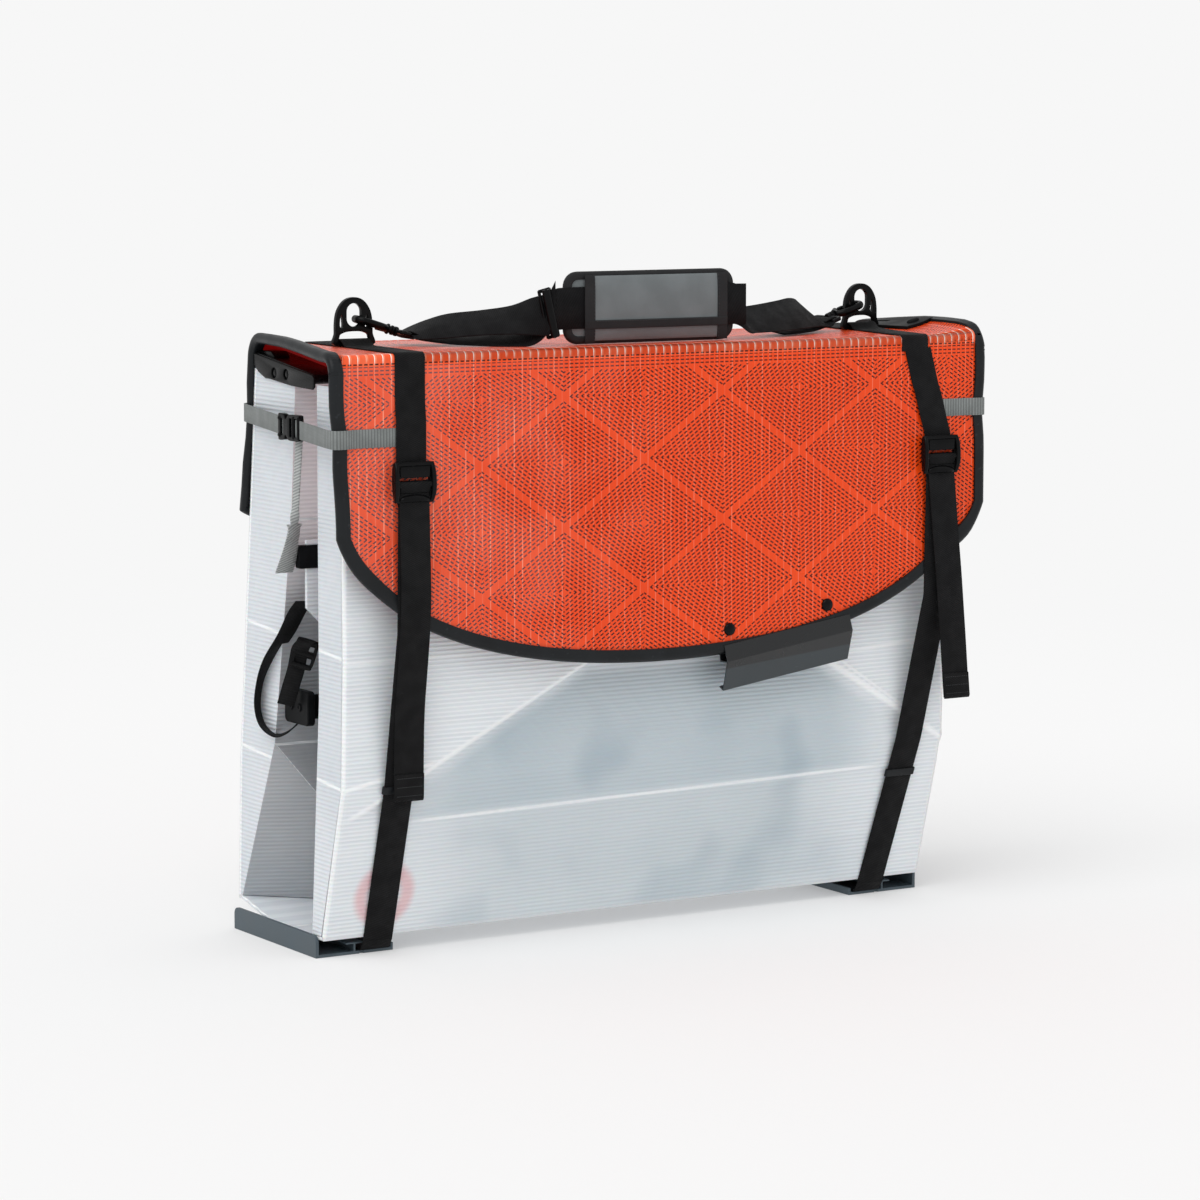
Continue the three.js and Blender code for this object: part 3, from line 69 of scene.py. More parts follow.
scene = bpy.context.scene

# The pieces are drawn in millimetres, with depth counted from the middle of the rails
railShift = 52.05  # the row's origin lies this far ahead of that middle
toRow = Matrix.Translation((0, railShift / 1000, 0)) @ Matrix.Scale(0.001, 4)
ends = {"left": -1, "right": 1}

hull = {"half": 414, "top": 654.5, "sheet": 4.5}
cover = {"top": 692, "half": 432, "board": 5, "front": 196, "back": 50, "lean": 0.1385}
strapAt = {
    "left": {"rail": -344, "back": -328, "ring": -334, "crease": -344, "buckle": -344},
    "right": {"rail": 344, "back": 385, "ring": 370, "crease": 345, "buckle": 378},
}
print("frame loaded:", len(frame["nodes"]), "nodes")


# Shader maths: a socket that can stand in an expression
class Wire:
    def __init__(self, look, socket):
        self.look, self.socket = look, socket

    def math(self, operation, *values):
        return self.look.node("Math", {"operation": operation}, *values)

    def __add__(self, other):
        return self.math("ADD", self, other)

    def __sub__(self, other):
        return self.math("SUBTRACT", self, other)

    def __rsub__(self, other):
        return self.math("SUBTRACT", other, self)

    def __mul__(self, other):
        return self.math("MULTIPLY", self, other)

    def __truediv__(self, other):
        return self.math("DIVIDE", self, other)

    def __gt__(self, other):
        return self.math("GREATER_THAN", self, other)

    def __lt__(self, other):
        return self.math("LESS_THAN", self, other)

    __radd__ = __add__
    __rmul__ = __mul__

    def max(self, other):
        return self.math("MAXIMUM", self, other)

    def min(self, other):
        return self.math("MINIMUM", self, other)

    def fract(self):
        return self.math("FRACT", self)

    def floor(self):
        return self.math("FLOOR", self)

    def abs(self):
        return self.math("ABSOLUTE", self)

    def wave(self, pitch):  # 0 to 1 and back over each pitch
        return self.math("SINE", self * (2 * math.pi / pitch)) * 0.5 + 0.5

    def ramp(self, low, high):  # 0 below low, 1 above high, smooth between
        settings = {"interpolation_type": "SMOOTHSTEP"}
        return self.look.node("MapRange", settings, self, low, high)


def colour(code):
    channels = [int(code[i:i + 2], 16) / 255 for i in (1, 3, 5)]
    linear = [c / 12.92 if c <= 0.04045 else ((c + 0.055) / 1.055) ** 2.4 for c in channels]
    return (*linear, 1.0)


# A material, or the world, that is built node by node
class Look:
    def __init__(self, name, world=None):
        self.material = world or bpy.data.materials.new(name)
        self.material.use_nodes = True
        self.tree = self.material.node_tree
        self.surface = self.tree.nodes.get("Principled BSDF")

    def node(self, kind, settings=None, *values, out=0, **named):
        made = self.tree.nodes.new("ShaderNode" + kind)
        for name, value in (settings or {}).items():
            setattr(made, name, value)
        for key, value in [*enumerate(values), *named.items()]:
            socket = made.inputs[key]
            if isinstance(value, Wire):
                self.tree.links.new(value.socket, socket)
            elif value is not None:
                socket.default_value = value
        return Wire(self, made.outputs[out])

    def axes(self, source="Object"):
        point = self.node("TexCoord", out=source)
        return point, *(self.node("SeparateXYZ", None, point, out=axis) for axis in "XYZ")

    def noise(self, point, scale, detail=2.0, roughness=0.5, out="Fac", stretch=None):
        if stretch:
            point = self.node("Mapping", None, point, Scale=stretch)
        return self.node("TexNoise", None, point, out=out, Scale=scale, Detail=detail,
                         Roughness=roughness)

    def mix(self, share, first, second):  # the node's colours are its sockets 6 and 7
        unused = [None] * 5
        return self.node("Mix", {"data_type": "RGBA"}, share, *unused, first, second, out=2)

    def bump(self, height, distance):
        self.plug(Normal=self.node("Bump", None, Height=height, Distance=distance, Strength=1.0))

    def plug(self, **values):
        for key, value in values.items():
            socket = self.surface.inputs[key.replace("_", " ")]
            if isinstance(value, Wire):
                self.tree.links.new(value.socket, socket)
            else:
                socket.default_value = value

    def output(self, shader, kind="Material"):
        self.tree.links.new(shader.socket, self.tree.nodes[kind + " Output"].inputs["Surface"])


sheetFlute = 0.005  # pitch
sheetShine = {"Subsurface_Scale": 0.01, "Coat_Weight": 0.2, "Coat_Roughness": 0.3}


# Fluted translucent sheet: flutes run along X, so they repeat along Z
def sheetLook(name, light, dark, milky, stripe=0.5, cloudy=0.5, translucent=0.1, glow=False,
              creases=()):
    look = Look(name)
    point, x, y, z = look.axes()
    flute = z.wave(sheetFlute)
    ridge = flute.ramp(0.35, 0.9)
    cloud = look.noise(point, 4.0, 2.0).ramp(0.35, 0.68)
    streak = look.noise(point, 70.0, 2.0, stretch=(0.05, 1, 1)).ramp(0.3, 0.75)
    base = look.mix(cloud * cloudy, colour(light), colour(milky))
    base = look.mix((1 - ridge) * stripe * (0.55 + 0.45 * streak), base, colour(dark))
    for height, rise in creases:  # white folds that cross the sheet, given at the back
        far = (z - height - (y - 0.1) * rise).abs() + 0.0012 * look.noise(point, 160.0, 2.0)
        base = look.mix((1 - far.ramp(0.0012, 0.0036)) * 0.85, base, colour("#fbfcfd"))
    look.plug(Roughness=0.3 + 0.2 * streak, Subsurface_Weight=translucent, **sheetShine)
    look.bump(flute * 0.45 + look.noise(point, 8.0, 1.0) * 2.2, 0.001)
    if glow:  # painted light and shade: the upper sheets glow as if daylight came through them, with a touch of the cover's red, and the lower sheets are darkened
        lit = z.ramp(0.38, 0.5) * (0.7 + 0.3 * flute)
        base = look.mix((1 - z.ramp(0.3, 0.46)) * 0.55, base, colour("#9aa2a8"))
        look.plug(Emission_Color=look.mix(lit, colour("#000000"), colour("#e9d4d6")),
                  Emission_Strength=0.2)
    look.plug(Base_Color=base)
    return look.material


# The outer walls: pearl white at both ends, with painted shade where the sheet is sunk and along
# the low band, white along the folds
wallShape = {
    "pleatTop": 333, "low": 162.3, "climb": 0.0175, "mid": 345, "edge": 200, "end": 414,
    "left": (87, 0.5213), "right": (205, 0.63),  # where each pleat starts, and its slope
    "sunk": 11, "ridge": 1.7, "lowRidge": 1.2, "ripple": 1.6,  # depths
    "calm": 60,  # the border without ripples
    "opened": 11,  # how far the sprung lid lets the back wall's left corner rise
}


def wallLook(name):
    look = Look(name)
    lengths = ("pleatTop", "low", "mid", "edge", "end")
    w = {key: wallShape[key] / 1000 for key in lengths}  # in metres
    point, x, y, z = look.axes()
    out = x.abs()
    pleats = []
    for side in ends:
        start, slope = wallShape[side]
        pleats.append((w["pleatTop"] + start / 1000 * slope) - out * slope)
    pleat = pleats[0] * (x < 0) + pleats[1] * (x > 0)
    rise = z - x * wallShape["climb"] - w["low"]  # height over the low fold
    flute = z.wave(sheetFlute)
    ridge = flute.ramp(0.35, 0.9)
    cloud = look.noise(point, 5.0, 2.0).ramp(0.35, 0.68)
    insideShade = look.noise(point, 9.0, 1.0).ramp(0.5, 0.72)
    streak = look.noise(point, 70.0, 2.0, stretch=(0.05, 1, 1)).ramp(0.3, 0.75)
    reach = pleat.min(w["pleatTop"]) - z
    above = rise.ramp(-0.012, 0.012)
    sunk = reach.ramp(0.0, 0.03) * above * (1 - out.ramp(0.24, 0.37))
    band = (1 - above) * (1 - out.ramp(0.16, 0.37))
    dim = sunk.max(band)
    base = look.mix(cloud * 0.45, colour("#eef1f4"), colour("#e0e5ea"))
    # painted shade: the low band and the sunk panel are darker, with blurred painted shade of the
    # parts inside, and the band's shade eases towards the foot
    base = look.mix(band * (0.85 + 0.15 * cloud), base, colour("#c5ced3"))
    base = look.mix(sunk * (0.85 + 0.15 * cloud), base, colour("#b3c0c7"))
    base = look.mix(dim * insideShade * 0.5, base, colour("#93a6b2"))
    lower = 1 - z.ramp(0.03, 0.09)
    base = look.mix(band * lower * 0.3, base, colour("#dfe5e8"))
    base = look.mix((1 - ridge) * (0.36 - 0.2 * dim) * (0.6 + 0.4 * streak), base,
                    colour("#b3bdc5"))
    # a red ring somewhere inside, blurred by the sheet
    fromRing = look.node("VectorMath", {"operation": "DISTANCE"},
                         look.node("CombineXYZ", None, x, 0.0, z), (-0.342, 0.0, 0.070),
                         out="Value")
    ring = 1 - (fromRing - 0.030).abs().ramp(0.002, 0.014)
    base = look.mix(ring * 0.4 * (y < 0), base, colour("#e26467"))
    # folds
    slant = (reach * 0.887 - 0.004).abs()
    second = (reach * 0.887 + 0.009 - (out - 0.2) * 0.05).abs()
    folds = (1 - slant.ramp(0.0008, 0.006)).max((1 - second.ramp(0.0006, 0.0035)) * 0.6 * (x > 0.2))
    folds = folds * rise.ramp(0, 0.02)
    low = (1 - rise.abs().ramp(0.0006, 0.0032)) * (1 - out.ramp(0.29, 0.34)) * 0.75
    fromSide = (z - w["edge"] - (w["end"] - out) * 0.198).abs()
    side = (1 - fromSide.ramp(0.0008, 0.004)) * out.ramp(0.28, 0.31) * (x < 0)
    kneeAt = w["mid"] - (x > 0) * 0.054 + x.max(0) * 0.08
    knee = (1 - (z - kneeAt).abs().ramp(0.0008, 0.004)) * out.ramp(0.2, 0.3) * 0.6
    corner = 1 - (w["end"] - out).abs().ramp(0.001, 0.005)
    foot = 1 - z.ramp(0.022, 0.027)
    teeth = 0.6 + 0.4 * look.noise(point, 160.0, 2.0)
    white = folds.max(low).max(side).max(knee).max(corner).max(foot * 0.5) * teeth
    look.plug(Base_Color=look.mix(white, base, colour("#fcfdfe")), Roughness=0.3 + 0.2 * streak)
    look.plug(Subsurface_Weight=0.1, **sheetShine)
    look.bump(flute * 0.4 + look.noise(point, 8.0, 1.0) * 2.0 + folds * 0.8, 0.001)
    return look.material


# A fold in the sheet, where the plastic has gone white and the flutes leave small teeth
def foldLook(name):
    look = Look(name)
    point, x, y, z = look.axes()
    grain = look.noise(point, 400.0, 2.0)
    teeth = (z + 0.15 * x).wave(sheetFlute).ramp(0.2, 0.8)
    look.plug(Base_Color=look.mix((1 - teeth) * 0.55 + grain * 0.2, colour("#fdfefe"),
                                  colour("#cfd6db")))
    look.plug(Roughness=0.5)
    look.bump(grain * 0.3 + teeth, 0.0006)
    return look.material


# Printed board: nested diamonds of dashes, with ribs of the flutes that run down the panel
boardPrint = {
    "across": 0.216, "down": 0.150, "line": 0.0043, "stroke": 0.36, "border": 0.0043,
    "dash": 0.0068, "dashShare": 0.68, "rib": 0.0105, "ribWidth": 0.13,
    "orange": "#f04a12", "deep": "#e5400a", "pale": "#ffb79c",
    "ink": "#150706", "inkUnderSheen": "#6d5a60",
}


def boardLook(name, down, crease, flip=1.0):
    look = Look(name)
    p = boardPrint
    point, x, y, z = look.axes()
    fall = ({"y": y, "z": z}[down] - crease) * flip  # distance from the crease
    rib = (x / p["rib"]).fract()
    cloud = look.noise(point, 14.0, 3.0).ramp(0.3, 0.75)
    fine = look.noise(point, 900.0, 2.0)
    ghost = look.noise(point, 90.0, 2.0, stretch=(1, 1, 0.12)).ramp(0.35, 0.7)
    # painted sheen: the board is paler, and its ink hazier, towards the left end
    hazeAndSheen = 1 - (x + 0.24 * cloud).ramp(-0.42, 0.12)
    base = look.mix(cloud * 0.6, colour(p["orange"]), colour(p["deep"]))
    base = look.mix(hazeAndSheen * 0.24, base, colour("#f4937e"))
    base = look.mix((rib < p["ribWidth"]) * (0.06 + 0.2 * ghost + 0.5 * hazeAndSheen * ghost), base,
                    colour(p["pale"]))
    # the lattice: a and b count cells along the two slants
    a = (x + 0.036) / p["across"] + (fall + 0.02) / p["down"]
    b = (x + 0.036) / p["across"] - (fall + 0.02) / p["down"]
    cellA, cellB = (a.fract() - 0.5) * 2, (b.fract() - 0.5) * 2
    first, second = cellA.abs(), cellB.abs()
    edge = first.max(second)
    size = math.hypot(p["across"], p["down"])
    depth = (1 - edge) * (p["across"] * p["down"] / size / 2)  # distance to the cell's border
    row = (depth - p["border"]) / p["line"]
    stroke = (row.fract() < p["stroke"]) * (row > 0) * (edge > 0.04)
    # dashes run along the side that is nearest
    upper = first > second
    run = cellA * (1 - upper) + cellB * upper
    dash = (run * (size / 4 / p["dash"]) + row.floor() * 0.37).fract() < p["dashShare"]
    ink = stroke * dash * (fall > 0.025)
    scuff = look.noise(point, 240.0, 2.0).ramp(0.2, 0.5)
    tint = look.mix(hazeAndSheen * 0.85, colour(p["ink"]), colour(p["inkUnderSheen"]))
    printed = look.mix(ink * (0.86 + 0.14 * scuff), base, tint)
    # white stress marks beside the crease, one at each flute
    near = 1 - fall.ramp(0.001, 0.011)
    patch = look.noise(point, 55.0, 2.0, stretch=(1, 0.2, 0.2)).ramp(0.4, 0.62)
    edgeRow = ((fall + 0.0003) / p["line"]).fract() < p["stroke"]
    edgeRow = ((x / p["dash"]).fract() < p["dashShare"]) * edgeRow
    printed = look.mix(edgeRow * (fall < 0.0228) * (fall > 0.0125) * 0.9, printed, tint)
    look.plug(Base_Color=look.mix(near * (rib < 0.12) * patch * 0.85, printed, colour("#fff0e4")))
    look.plug(Roughness=0.26 + 0.12 * cloud + 0.1 * ink, Coat_Weight=0.05, Coat_Roughness=0.15)
    look.plug(Specular_IOR_Level=0.22)
    look.bump(x.wave(p["rib"]) * 0.35 + fine * 0.06 + look.noise(point, 11.0, 1.0) * 1.4, 0.001)
    return look.material


def undersideLook(name):
    look = Look(name)
    point, x, y, z = look.axes()
    cloud = look.noise(point, 14.0, 3.0).ramp(0.3, 0.75)
    look.plug(Base_Color=look.mix(cloud * 0.6, colour("#a01713"), colour("#7c0d0c")),
              Roughness=0.3 + 0.1 * cloud)
    # painted light: the underside glows red as if light came through the board
    look.plug(Emission_Color=colour("#8a0a08"), Emission_Strength=0.35)
    look.bump(x.wave(boardPrint["rib"]), 0.0003)
    return look.material


def creaseLook(name):
    look = Look(name)
    p = boardPrint
    point, x, y, z = look.axes()
    rib = (x / p["rib"]).fract()
    cloud = look.noise(point, 14.0, 3.0)
    patch = look.noise(point, 55.0, 2.0, stretch=(1, 0.2, 0.2)).ramp(0.28, 0.5)
    hazeAndSheen = look.noise(point, 30.0, 2.0).ramp(0.4, 0.8)
    base = look.mix(cloud * 0.5, colour("#f5511c"), colour("#ee4a1b"))
    base = look.mix(hazeAndSheen * 0.2, base, colour("#ffa97f"))
    bend = 1 - (0.692 - z).ramp(0.0035, 0.008 + 0.006 * patch)
    base = look.mix((rib < 0.3) * bend * 0.3, base, colour("#ffc3a0"))
    dash = ((x / p["dash"]).fract() < p["dashShare"]) * ((0.6815 - z).abs() < 0.0009)
    base = look.mix(dash * 0.9, base, colour(p["ink"]))
    look.plug(Base_Color=look.mix((rib < 0.11) * patch * bend * 0.95, base, colour("#fff6ee")))
    look.plug(Roughness=0.34, Coat_Weight=0.05, Specular_IOR_Level=0.22)
    look.bump(x.wave(p["rib"]), 0.0004)
    return look.material


def rubberLook(name, light, dark, grain=700.0, gloss=0.4):
    look = Look(name)
    point, x, y, z = look.axes()
    cloud = look.noise(point, 22.0, 4.0).ramp(0.3, 0.7)
    fine = look.noise(point, grain, 3.0)
    scuff = look.noise(point, 130.0, 4.0, 0.6).ramp(0.6, 0.75)
    base = look.mix(cloud * 0.6, colour(dark), colour(light))
    look.plug(Base_Color=look.mix(scuff * 0.1, base, colour("#6a7075")),
              Roughness=gloss + 0.14 * cloud)
    look.plug(Specular_IOR_Level=0.2)
    look.bump(fine * 0.25 + cloud * 0.3, 0.0003)
    return look.material


def plasticLook(name, light="#141516", dark="#0b0b0c", roughness=0.22, shine=0.12):
    look = Look(name)
    point, x, y, z = look.axes()
    cloud = look.noise(point, 40.0, 3.0).ramp(0.3, 0.7)
    fine = look.noise(point, 2600.0, 2.0)
    wear = look.noise(point, 320.0, 4.0, 0.65).ramp(0.62, 0.8)
    base = look.mix(cloud * 0.7, colour(dark), colour(light))
    look.plug(Base_Color=look.mix(wear * 0.08, base, colour("#4c5054")), Specular_IOR_Level=shine)
    look.plug(Roughness=roughness + 0.1 * cloud + 0.15 * wear)
    look.bump(fine * 0.1, 0.0001)
    return look.material


# Woven strap: the piece's own map gives metres across and along the strap
def webbingLook(name, light, dark, rib, ribDepth, twill=0.0, sheen=0.02, shine=0.12):
    look = Look(name)
    point = look.node("TexCoord", out="UV")
    place = look.node("TexCoord", out="Object")
    across, along = (look.node("SeparateXYZ", None, point, out=axis) for axis in "XY")
    rows = (along + across * twill).wave(rib)
    # each yarn row is shifted by half a yarn against its neighbour
    offset = ((along / rib).floor() * 0.5).fract()
    yarns = (across / 0.0016 + offset).wave(1.0)
    weave = rows * (0.55 + 0.45 * yarns)
    cloud = look.noise(place, 60.0, 4.0).ramp(0.25, 0.75)
    fuzz = look.noise(place, 1400.0, 2.0)
    base = look.mix(weave * 0.8 + fuzz * 0.2, colour(dark), colour(light))
    base = look.mix(cloud * 0.35, base, colour(dark))
    look.plug(Base_Color=base, Roughness=0.62 + 0.2 * cloud, Sheen_Weight=sheen,
              Sheen_Roughness=0.4)
    look.plug(Specular_IOR_Level=shine)
    look.bump(weave * ribDepth + fuzz * 0.3, 0.0004)
    return look.material


def clothLook(name, light, dark, weave=0.0009, sheen=0.3):
    look = Look(name)
    point, x, y, z = look.axes()
    warp = (x + z).wave(weave)
    weft = (x - z).wave(weave)
    grid = warp * 0.5 + weft * 0.5
    cloud = look.noise(point, 35.0, 4.0).ramp(0.25, 0.75)
    fuzz = look.noise(point, 1500.0, 2.0)
    base = look.mix(grid * 0.4 + cloud * 0.4, colour(dark), colour(light))
    look.plug(Base_Color=base, Roughness=0.75 + 0.15 * cloud, Sheen_Weight=sheen,
              Sheen_Roughness=0.5)
    look.bump(grid * 0.3 + fuzz * 0.2 + cloud * 0.6, 0.0005)
    return look.material


def paintLook(name, light, dark):
    look = Look(name)
    point, x, y, z = look.axes()
    orange = look.noise(point, 900.0, 2.0)
    cloud = look.noise(point, 18.0, 3.0).ramp(0.3, 0.7)
    scuff = look.noise(point, 90.0, 5.0, 0.6, stretch=(0.3, 1, 1)).ramp(0.64, 0.76)
    base = look.mix(cloud * 0.5, colour(dark), colour(light))
    look.plug(Base_Color=look.mix(scuff * 0.2, base, colour("#8b979b")), Metallic=0.15)
    look.plug(Roughness=0.4 + 0.15 * cloud)
    look.bump(orange * 0.3, 0.0002)
    return look.material


# The keeper's lower face is grey paint, and its upper face, which slopes out and down, is painted
# near-black as painted shade and is glossier
def keeperLook(name):
    look = Look(name)
    point, x, y, z = look.axes()
    cloud = look.noise(point, 18.0, 3.0).ramp(0.3, 0.7)
    scuff = look.noise(point, 90.0, 5.0, 0.6, stretch=(0.3, 1, 1)).ramp(0.64, 0.76)
    # painted shade: above the fold line the face turns near-black
    upper = (z - x * 0.0957).ramp(0.3005, 0.3035)
    base = look.mix(cloud * 0.5, colour("#2b3236"), colour("#353d41"))
    base = look.mix(upper, look.mix(scuff * 0.2, base, colour("#8b979b")), colour("#121416"))
    look.plug(Base_Color=base, Roughness=0.44 - 0.22 * upper + 0.1 * cloud)
    look.bump(look.noise(point, 900.0, 2.0) * 0.3, 0.0002)
    return look.material


looks = {
    "sheetBright": sheetLook("sheetBright", "#e9edf1", "#ccd2d9", "#dde3e8", 0.6, 0.4),
    "sheetWall": wallLook("sheetWall"),
    # painted shade: the inner faces are a darker, cloudier copy of the sheet than the end faces
    "sheetInner": sheetLook("sheetInner", "#dcd9da", "#bcbcc0", "#aab2b8", 0.5, 0.7, glow=True),
    "sheetEnd": sheetLook("sheetEnd", "#dde1e6", "#c2c8ce", "#ccd2d8", 0.4, 0.6,
                          creases=((0.3685, 0.087), (0.2185, 0.08))),
    "fold": foldLook("foldedSheet"),
    "boardFront": boardLook("printedFront", "z", 0.692, -1.0),
    "boardTop": boardLook("printedTop", "y", -0.196 + railShift / 1000, 1.0),
    "boardBack": boardLook("printedBack", "z", 0.692, -1.0),
    "boardUnder": undersideLook("boardUnder"),
    "crease": creaseLook("boardCrease"),
    "trim": rubberLook("edgeTrim", "#1f2225", "#141618", 700.0, 0.32),
    "rail": paintLook("railPaint", "#55626a", "#434f56"),
    "keeper": keeperLook("keeperPaint"),
    "plastic": plasticLook("mouldedPlastic", "#0e0f10", "#060607", 0.2),
    "plate": plasticLook("platePlastic", "#161719", "#0c0d0e", 0.4, 0.07),
    "webbing": webbingLook("blackWebbing", "#222223", "#0a0a0b", 0.0022, 0.8, 0.4),
    "shoulder": webbingLook("shoulderWebbing", "#1d1d1e", "#08080a", 0.0022, 0.8, 0.4),
    "belt": webbingLook("greyWebbing", "#9a9e9d", "#606463", 0.0038, 1.2, sheen=0.1, shine=0.25),
    "tail": webbingLook("tailWebbing", "#dcdedd", "#7d8180", 0.0036, 1.4, 0.4,
                        sheen=0.15, shine=0.25),
    "padGrey": clothLook("padCloth", "#7b8183", "#5e6466", sheen=0.12),
    "padEdge": clothLook("padBinding", "#18191c", "#0a0a0c", 0.0013, 0.03),
    "thread": rubberLook("thread", "#5c5e60", "#3c3e40", 1800.0),
    "foam": rubberLook("seatFoam", "#333538", "#232528", 1200.0),
}
print("looks made:", len(looks))


# Geometry helpers
xAxis, yAxis, zAxis = Vector((1, 0, 0)), Vector((0, 1, 0)), Vector((0, 0, 1))
noTurn = Matrix.Identity(4)


def spots(*rows):
    return [Vector(row) for row in rows]


def turnBy(degrees, axis):
    return Matrix.Rotation(math.radians(degrees), 4, axis)


def moved(bm, place, turn=noTurn):
    bmesh.ops.transform(bm, matrix=Matrix.Translation(place) @ turn, verts=bm.verts)
    return bm


def settle(bm, origin=(0, 0, 0), turn=noTurn):
    bmesh.ops.transform(bm, matrix=toRow @ Matrix.Translation(origin) @ turn, verts=bm.verts)
    return bm


def gather(*parts):
    whole = bmesh.new()
    for part in parts:
        mesh = bpy.data.meshes.new("part")
        part.to_mesh(mesh)
        part.free()
        whole.from_mesh(mesh)
        bpy.data.meshes.remove(mesh)
    return whole


def finished(name, bm, look, body, nodes=(), angle=35, weighted=False, recalc=True):
    if recalc:
        bmesh.ops.recalc_face_normals(bm, faces=bm.faces)
    mesh = bpy.data.meshes.new(name)
    bm.to_mesh(mesh)
    bm.free()
    for key in [look] if isinstance(look, str) else look:
        mesh.materials.append(looks[key])
    mesh.shade_smooth()
    mesh.set_sharp_from_angle(angle=math.radians(angle))
    obj = bpy.data.objects.new(name, mesh)
    scene.collection.objects.link(obj)
    if weighted:
        modifier = obj.modifiers.new("evenShading", "WEIGHTED_NORMAL")
        modifier.keep_sharp = True
    if body:
        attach(obj, body)
    if nodes:
        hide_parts(*nodes)
    return obj


# A merged copy of a CAD node, with the triangles of each flat face joined
def nodeCopy(node, flat=0.6):
    bm = bmesh.new()
    bm.from_mesh(frame["nodes"][node].data)
    bmesh.ops.remove_doubles(bm, verts=bm.verts, dist=1e-6)
    bmesh.ops.dissolve_limit(bm, angle_limit=math.radians(flat), verts=bm.verts, edges=bm.edges)
    return bm


def sharpEdges(bm, low, high=181):
    limits = math.radians(low), math.radians(high)
    return [e for e in bm.edges if len(e.link_faces) == 2
            and limits[0] < e.calc_face_angle(0) < limits[1]]


def soften(bm, width, segments=2, low=25, high=181):
    edges = sharpEdges(bm, low, high)
    return bmesh.ops.bevel(bm, geom=edges, offset=width, affect="EDGES", segments=segments,
                           profile=0.5, clamp_overlap=True, material=-1)["faces"]


def refine(name, node, look, width=0.5, segments=2, body=None, low=25):
    bm = nodeCopy(node)
    soften(bm, width / 1000, segments, low)
    home = frame["nodes"][node]["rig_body"]
    return finished(name, bm, look, body or home, [node], weighted=True, recalc=False)


# A closed section carried along a route; inward is the section's first axis at each point
def sweep(section, route, inward):
    bm = bmesh.new()
    acrossMap = bm.verts.layers.float.new("across")
    alongMap = bm.verts.layers.float.new("along")
    inward = inward if isinstance(inward, list) else [inward] * len(route)
    travelled = 0.0
    face = None
    ring = []
    for i, point in enumerate(route):
        before, after = route[max(i - 1, 0)], route[min(i + 1, len(route) - 1)]
        steps = [(b - a).normalized() for a, b in ((before, point), (point, after))
                 if (b - a).length > 1e-6]
        tangent = sum(steps, Vector()).normalized()
        side = inward[i].normalized()
        normal = tangent.cross(side).normalized()
        stretch = 1 / max(steps[0].dot(tangent), 0.35)
        if i:
            travelled += (point - before).length
        places = [point + side * u + normal * (w * stretch) for u, w in section]
        if face is None:
            ring = [bm.verts.new(place) for place in places]
            face = bm.faces.new(ring)
        else:
            old = [vert.co.copy() for vert in ring]
            made = bmesh.ops.extrude_face_region(bm, geom=[face])["geom"]
            face = next(part for part in made if isinstance(part, bmesh.types.BMFace))
            fresh = list(face.verts)
            ring = [min(fresh, key=lambda vert, at=at: (vert.co - at).length_squared) for at in old]
            for vert, place in zip(ring, places):
                vert.co = place
        for vert, (u, _) in zip(ring, section):
            vert[acrossMap] = u
            vert[alongMap] = travelled
    uvMap = bm.loops.layers.uv.new("weave")
    for each in bm.faces:
        for loop in each.loops:
            loop[uvMap].uv = (loop.vert[acrossMap] / 1000, loop.vert[alongMap] / 1000)
    return bm


def rounded(points, reach, steps=6):
    route = [points[0]]
    for before, corner, after in zip(points, points[1:], points[2:]):
        span = min(reach, (corner - before).length * 0.48, (after - corner).length * 0.48)
        start = corner + (before - corner).normalized() * span
        end = corner + (after - corner).normalized() * span
        for i in range(steps + 1):
            share = i / steps
            route.append(start.lerp(corner, share).lerp(corner.lerp(end, share), share))
    route.append(points[-1])
    return route


def spaced(route, step):
    dense = [route[0]]
    for a, b in zip(route, route[1:]):
        count = max(1, round((b - a).length / step))
        dense += [a.lerp(b, i / count) for i in range(1, count + 1)]
    return dense


# A point between b and c on the smooth curve through four points
def curveAt(a, b, c, d, t):
    return 0.5 * (2 * b + (c - a) * t + (2 * a - 5 * b + 4 * c - d) * t ** 2
                  + (3 * b - a - 3 * c + d) * t ** 3)


# A smooth curve through points, and through what goes with each of them
def throughPoints(points, extras, steps=8):
    def blend(rows, i, t):
        return curveAt(*(rows[max(0, min(len(rows) - 1, i + k))] for k in (-1, 0, 1, 2)), t)
    route, along = [], []
    for i in range(len(points) - 1):
        for k in range(steps + (i == len(points) - 2)):
            route.append(blend(points, i, k / steps))
            along.append(blend(extras, i, k / steps))
    return route, along


def stripSection(width, thickness):
    w, t = width / 2, thickness / 2
    return [(-w, -t * 0.35), (-w + t * 0.6, -t), (0, -t), (w - t * 0.6, -t), (w, -t * 0.35),
            (w, t * 0.35), (w - t * 0.6, t), (0, t), (-w + t * 0.6, t), (-w, t * 0.35)]


def roundSection(radius, count=12, squash=1.0):
    turn = 2 * math.pi / count
    return [(radius * math.cos(i * turn), radius * squash * math.sin(i * turn))
            for i in range(count)]


def boxLoop(u0, v0, u1, v1, radius=0.0, steps=5):
    if not radius:
        return [(u0, v0), (u1, v0), (u1, v1), (u0, v1)]
    corners = [(u1 - radius, v0 + radius, -90), (u1 - radius, v1 - radius, 0),
               (u0 + radius, v1 - radius, 90), (u0 + radius, v0 + radius, 180)]
    loop = []
    for u, v, start in corners:
        loop += arcPoints((u, v), radius, [start + 90 * i / steps for i in range(steps + 1)])
    return loop


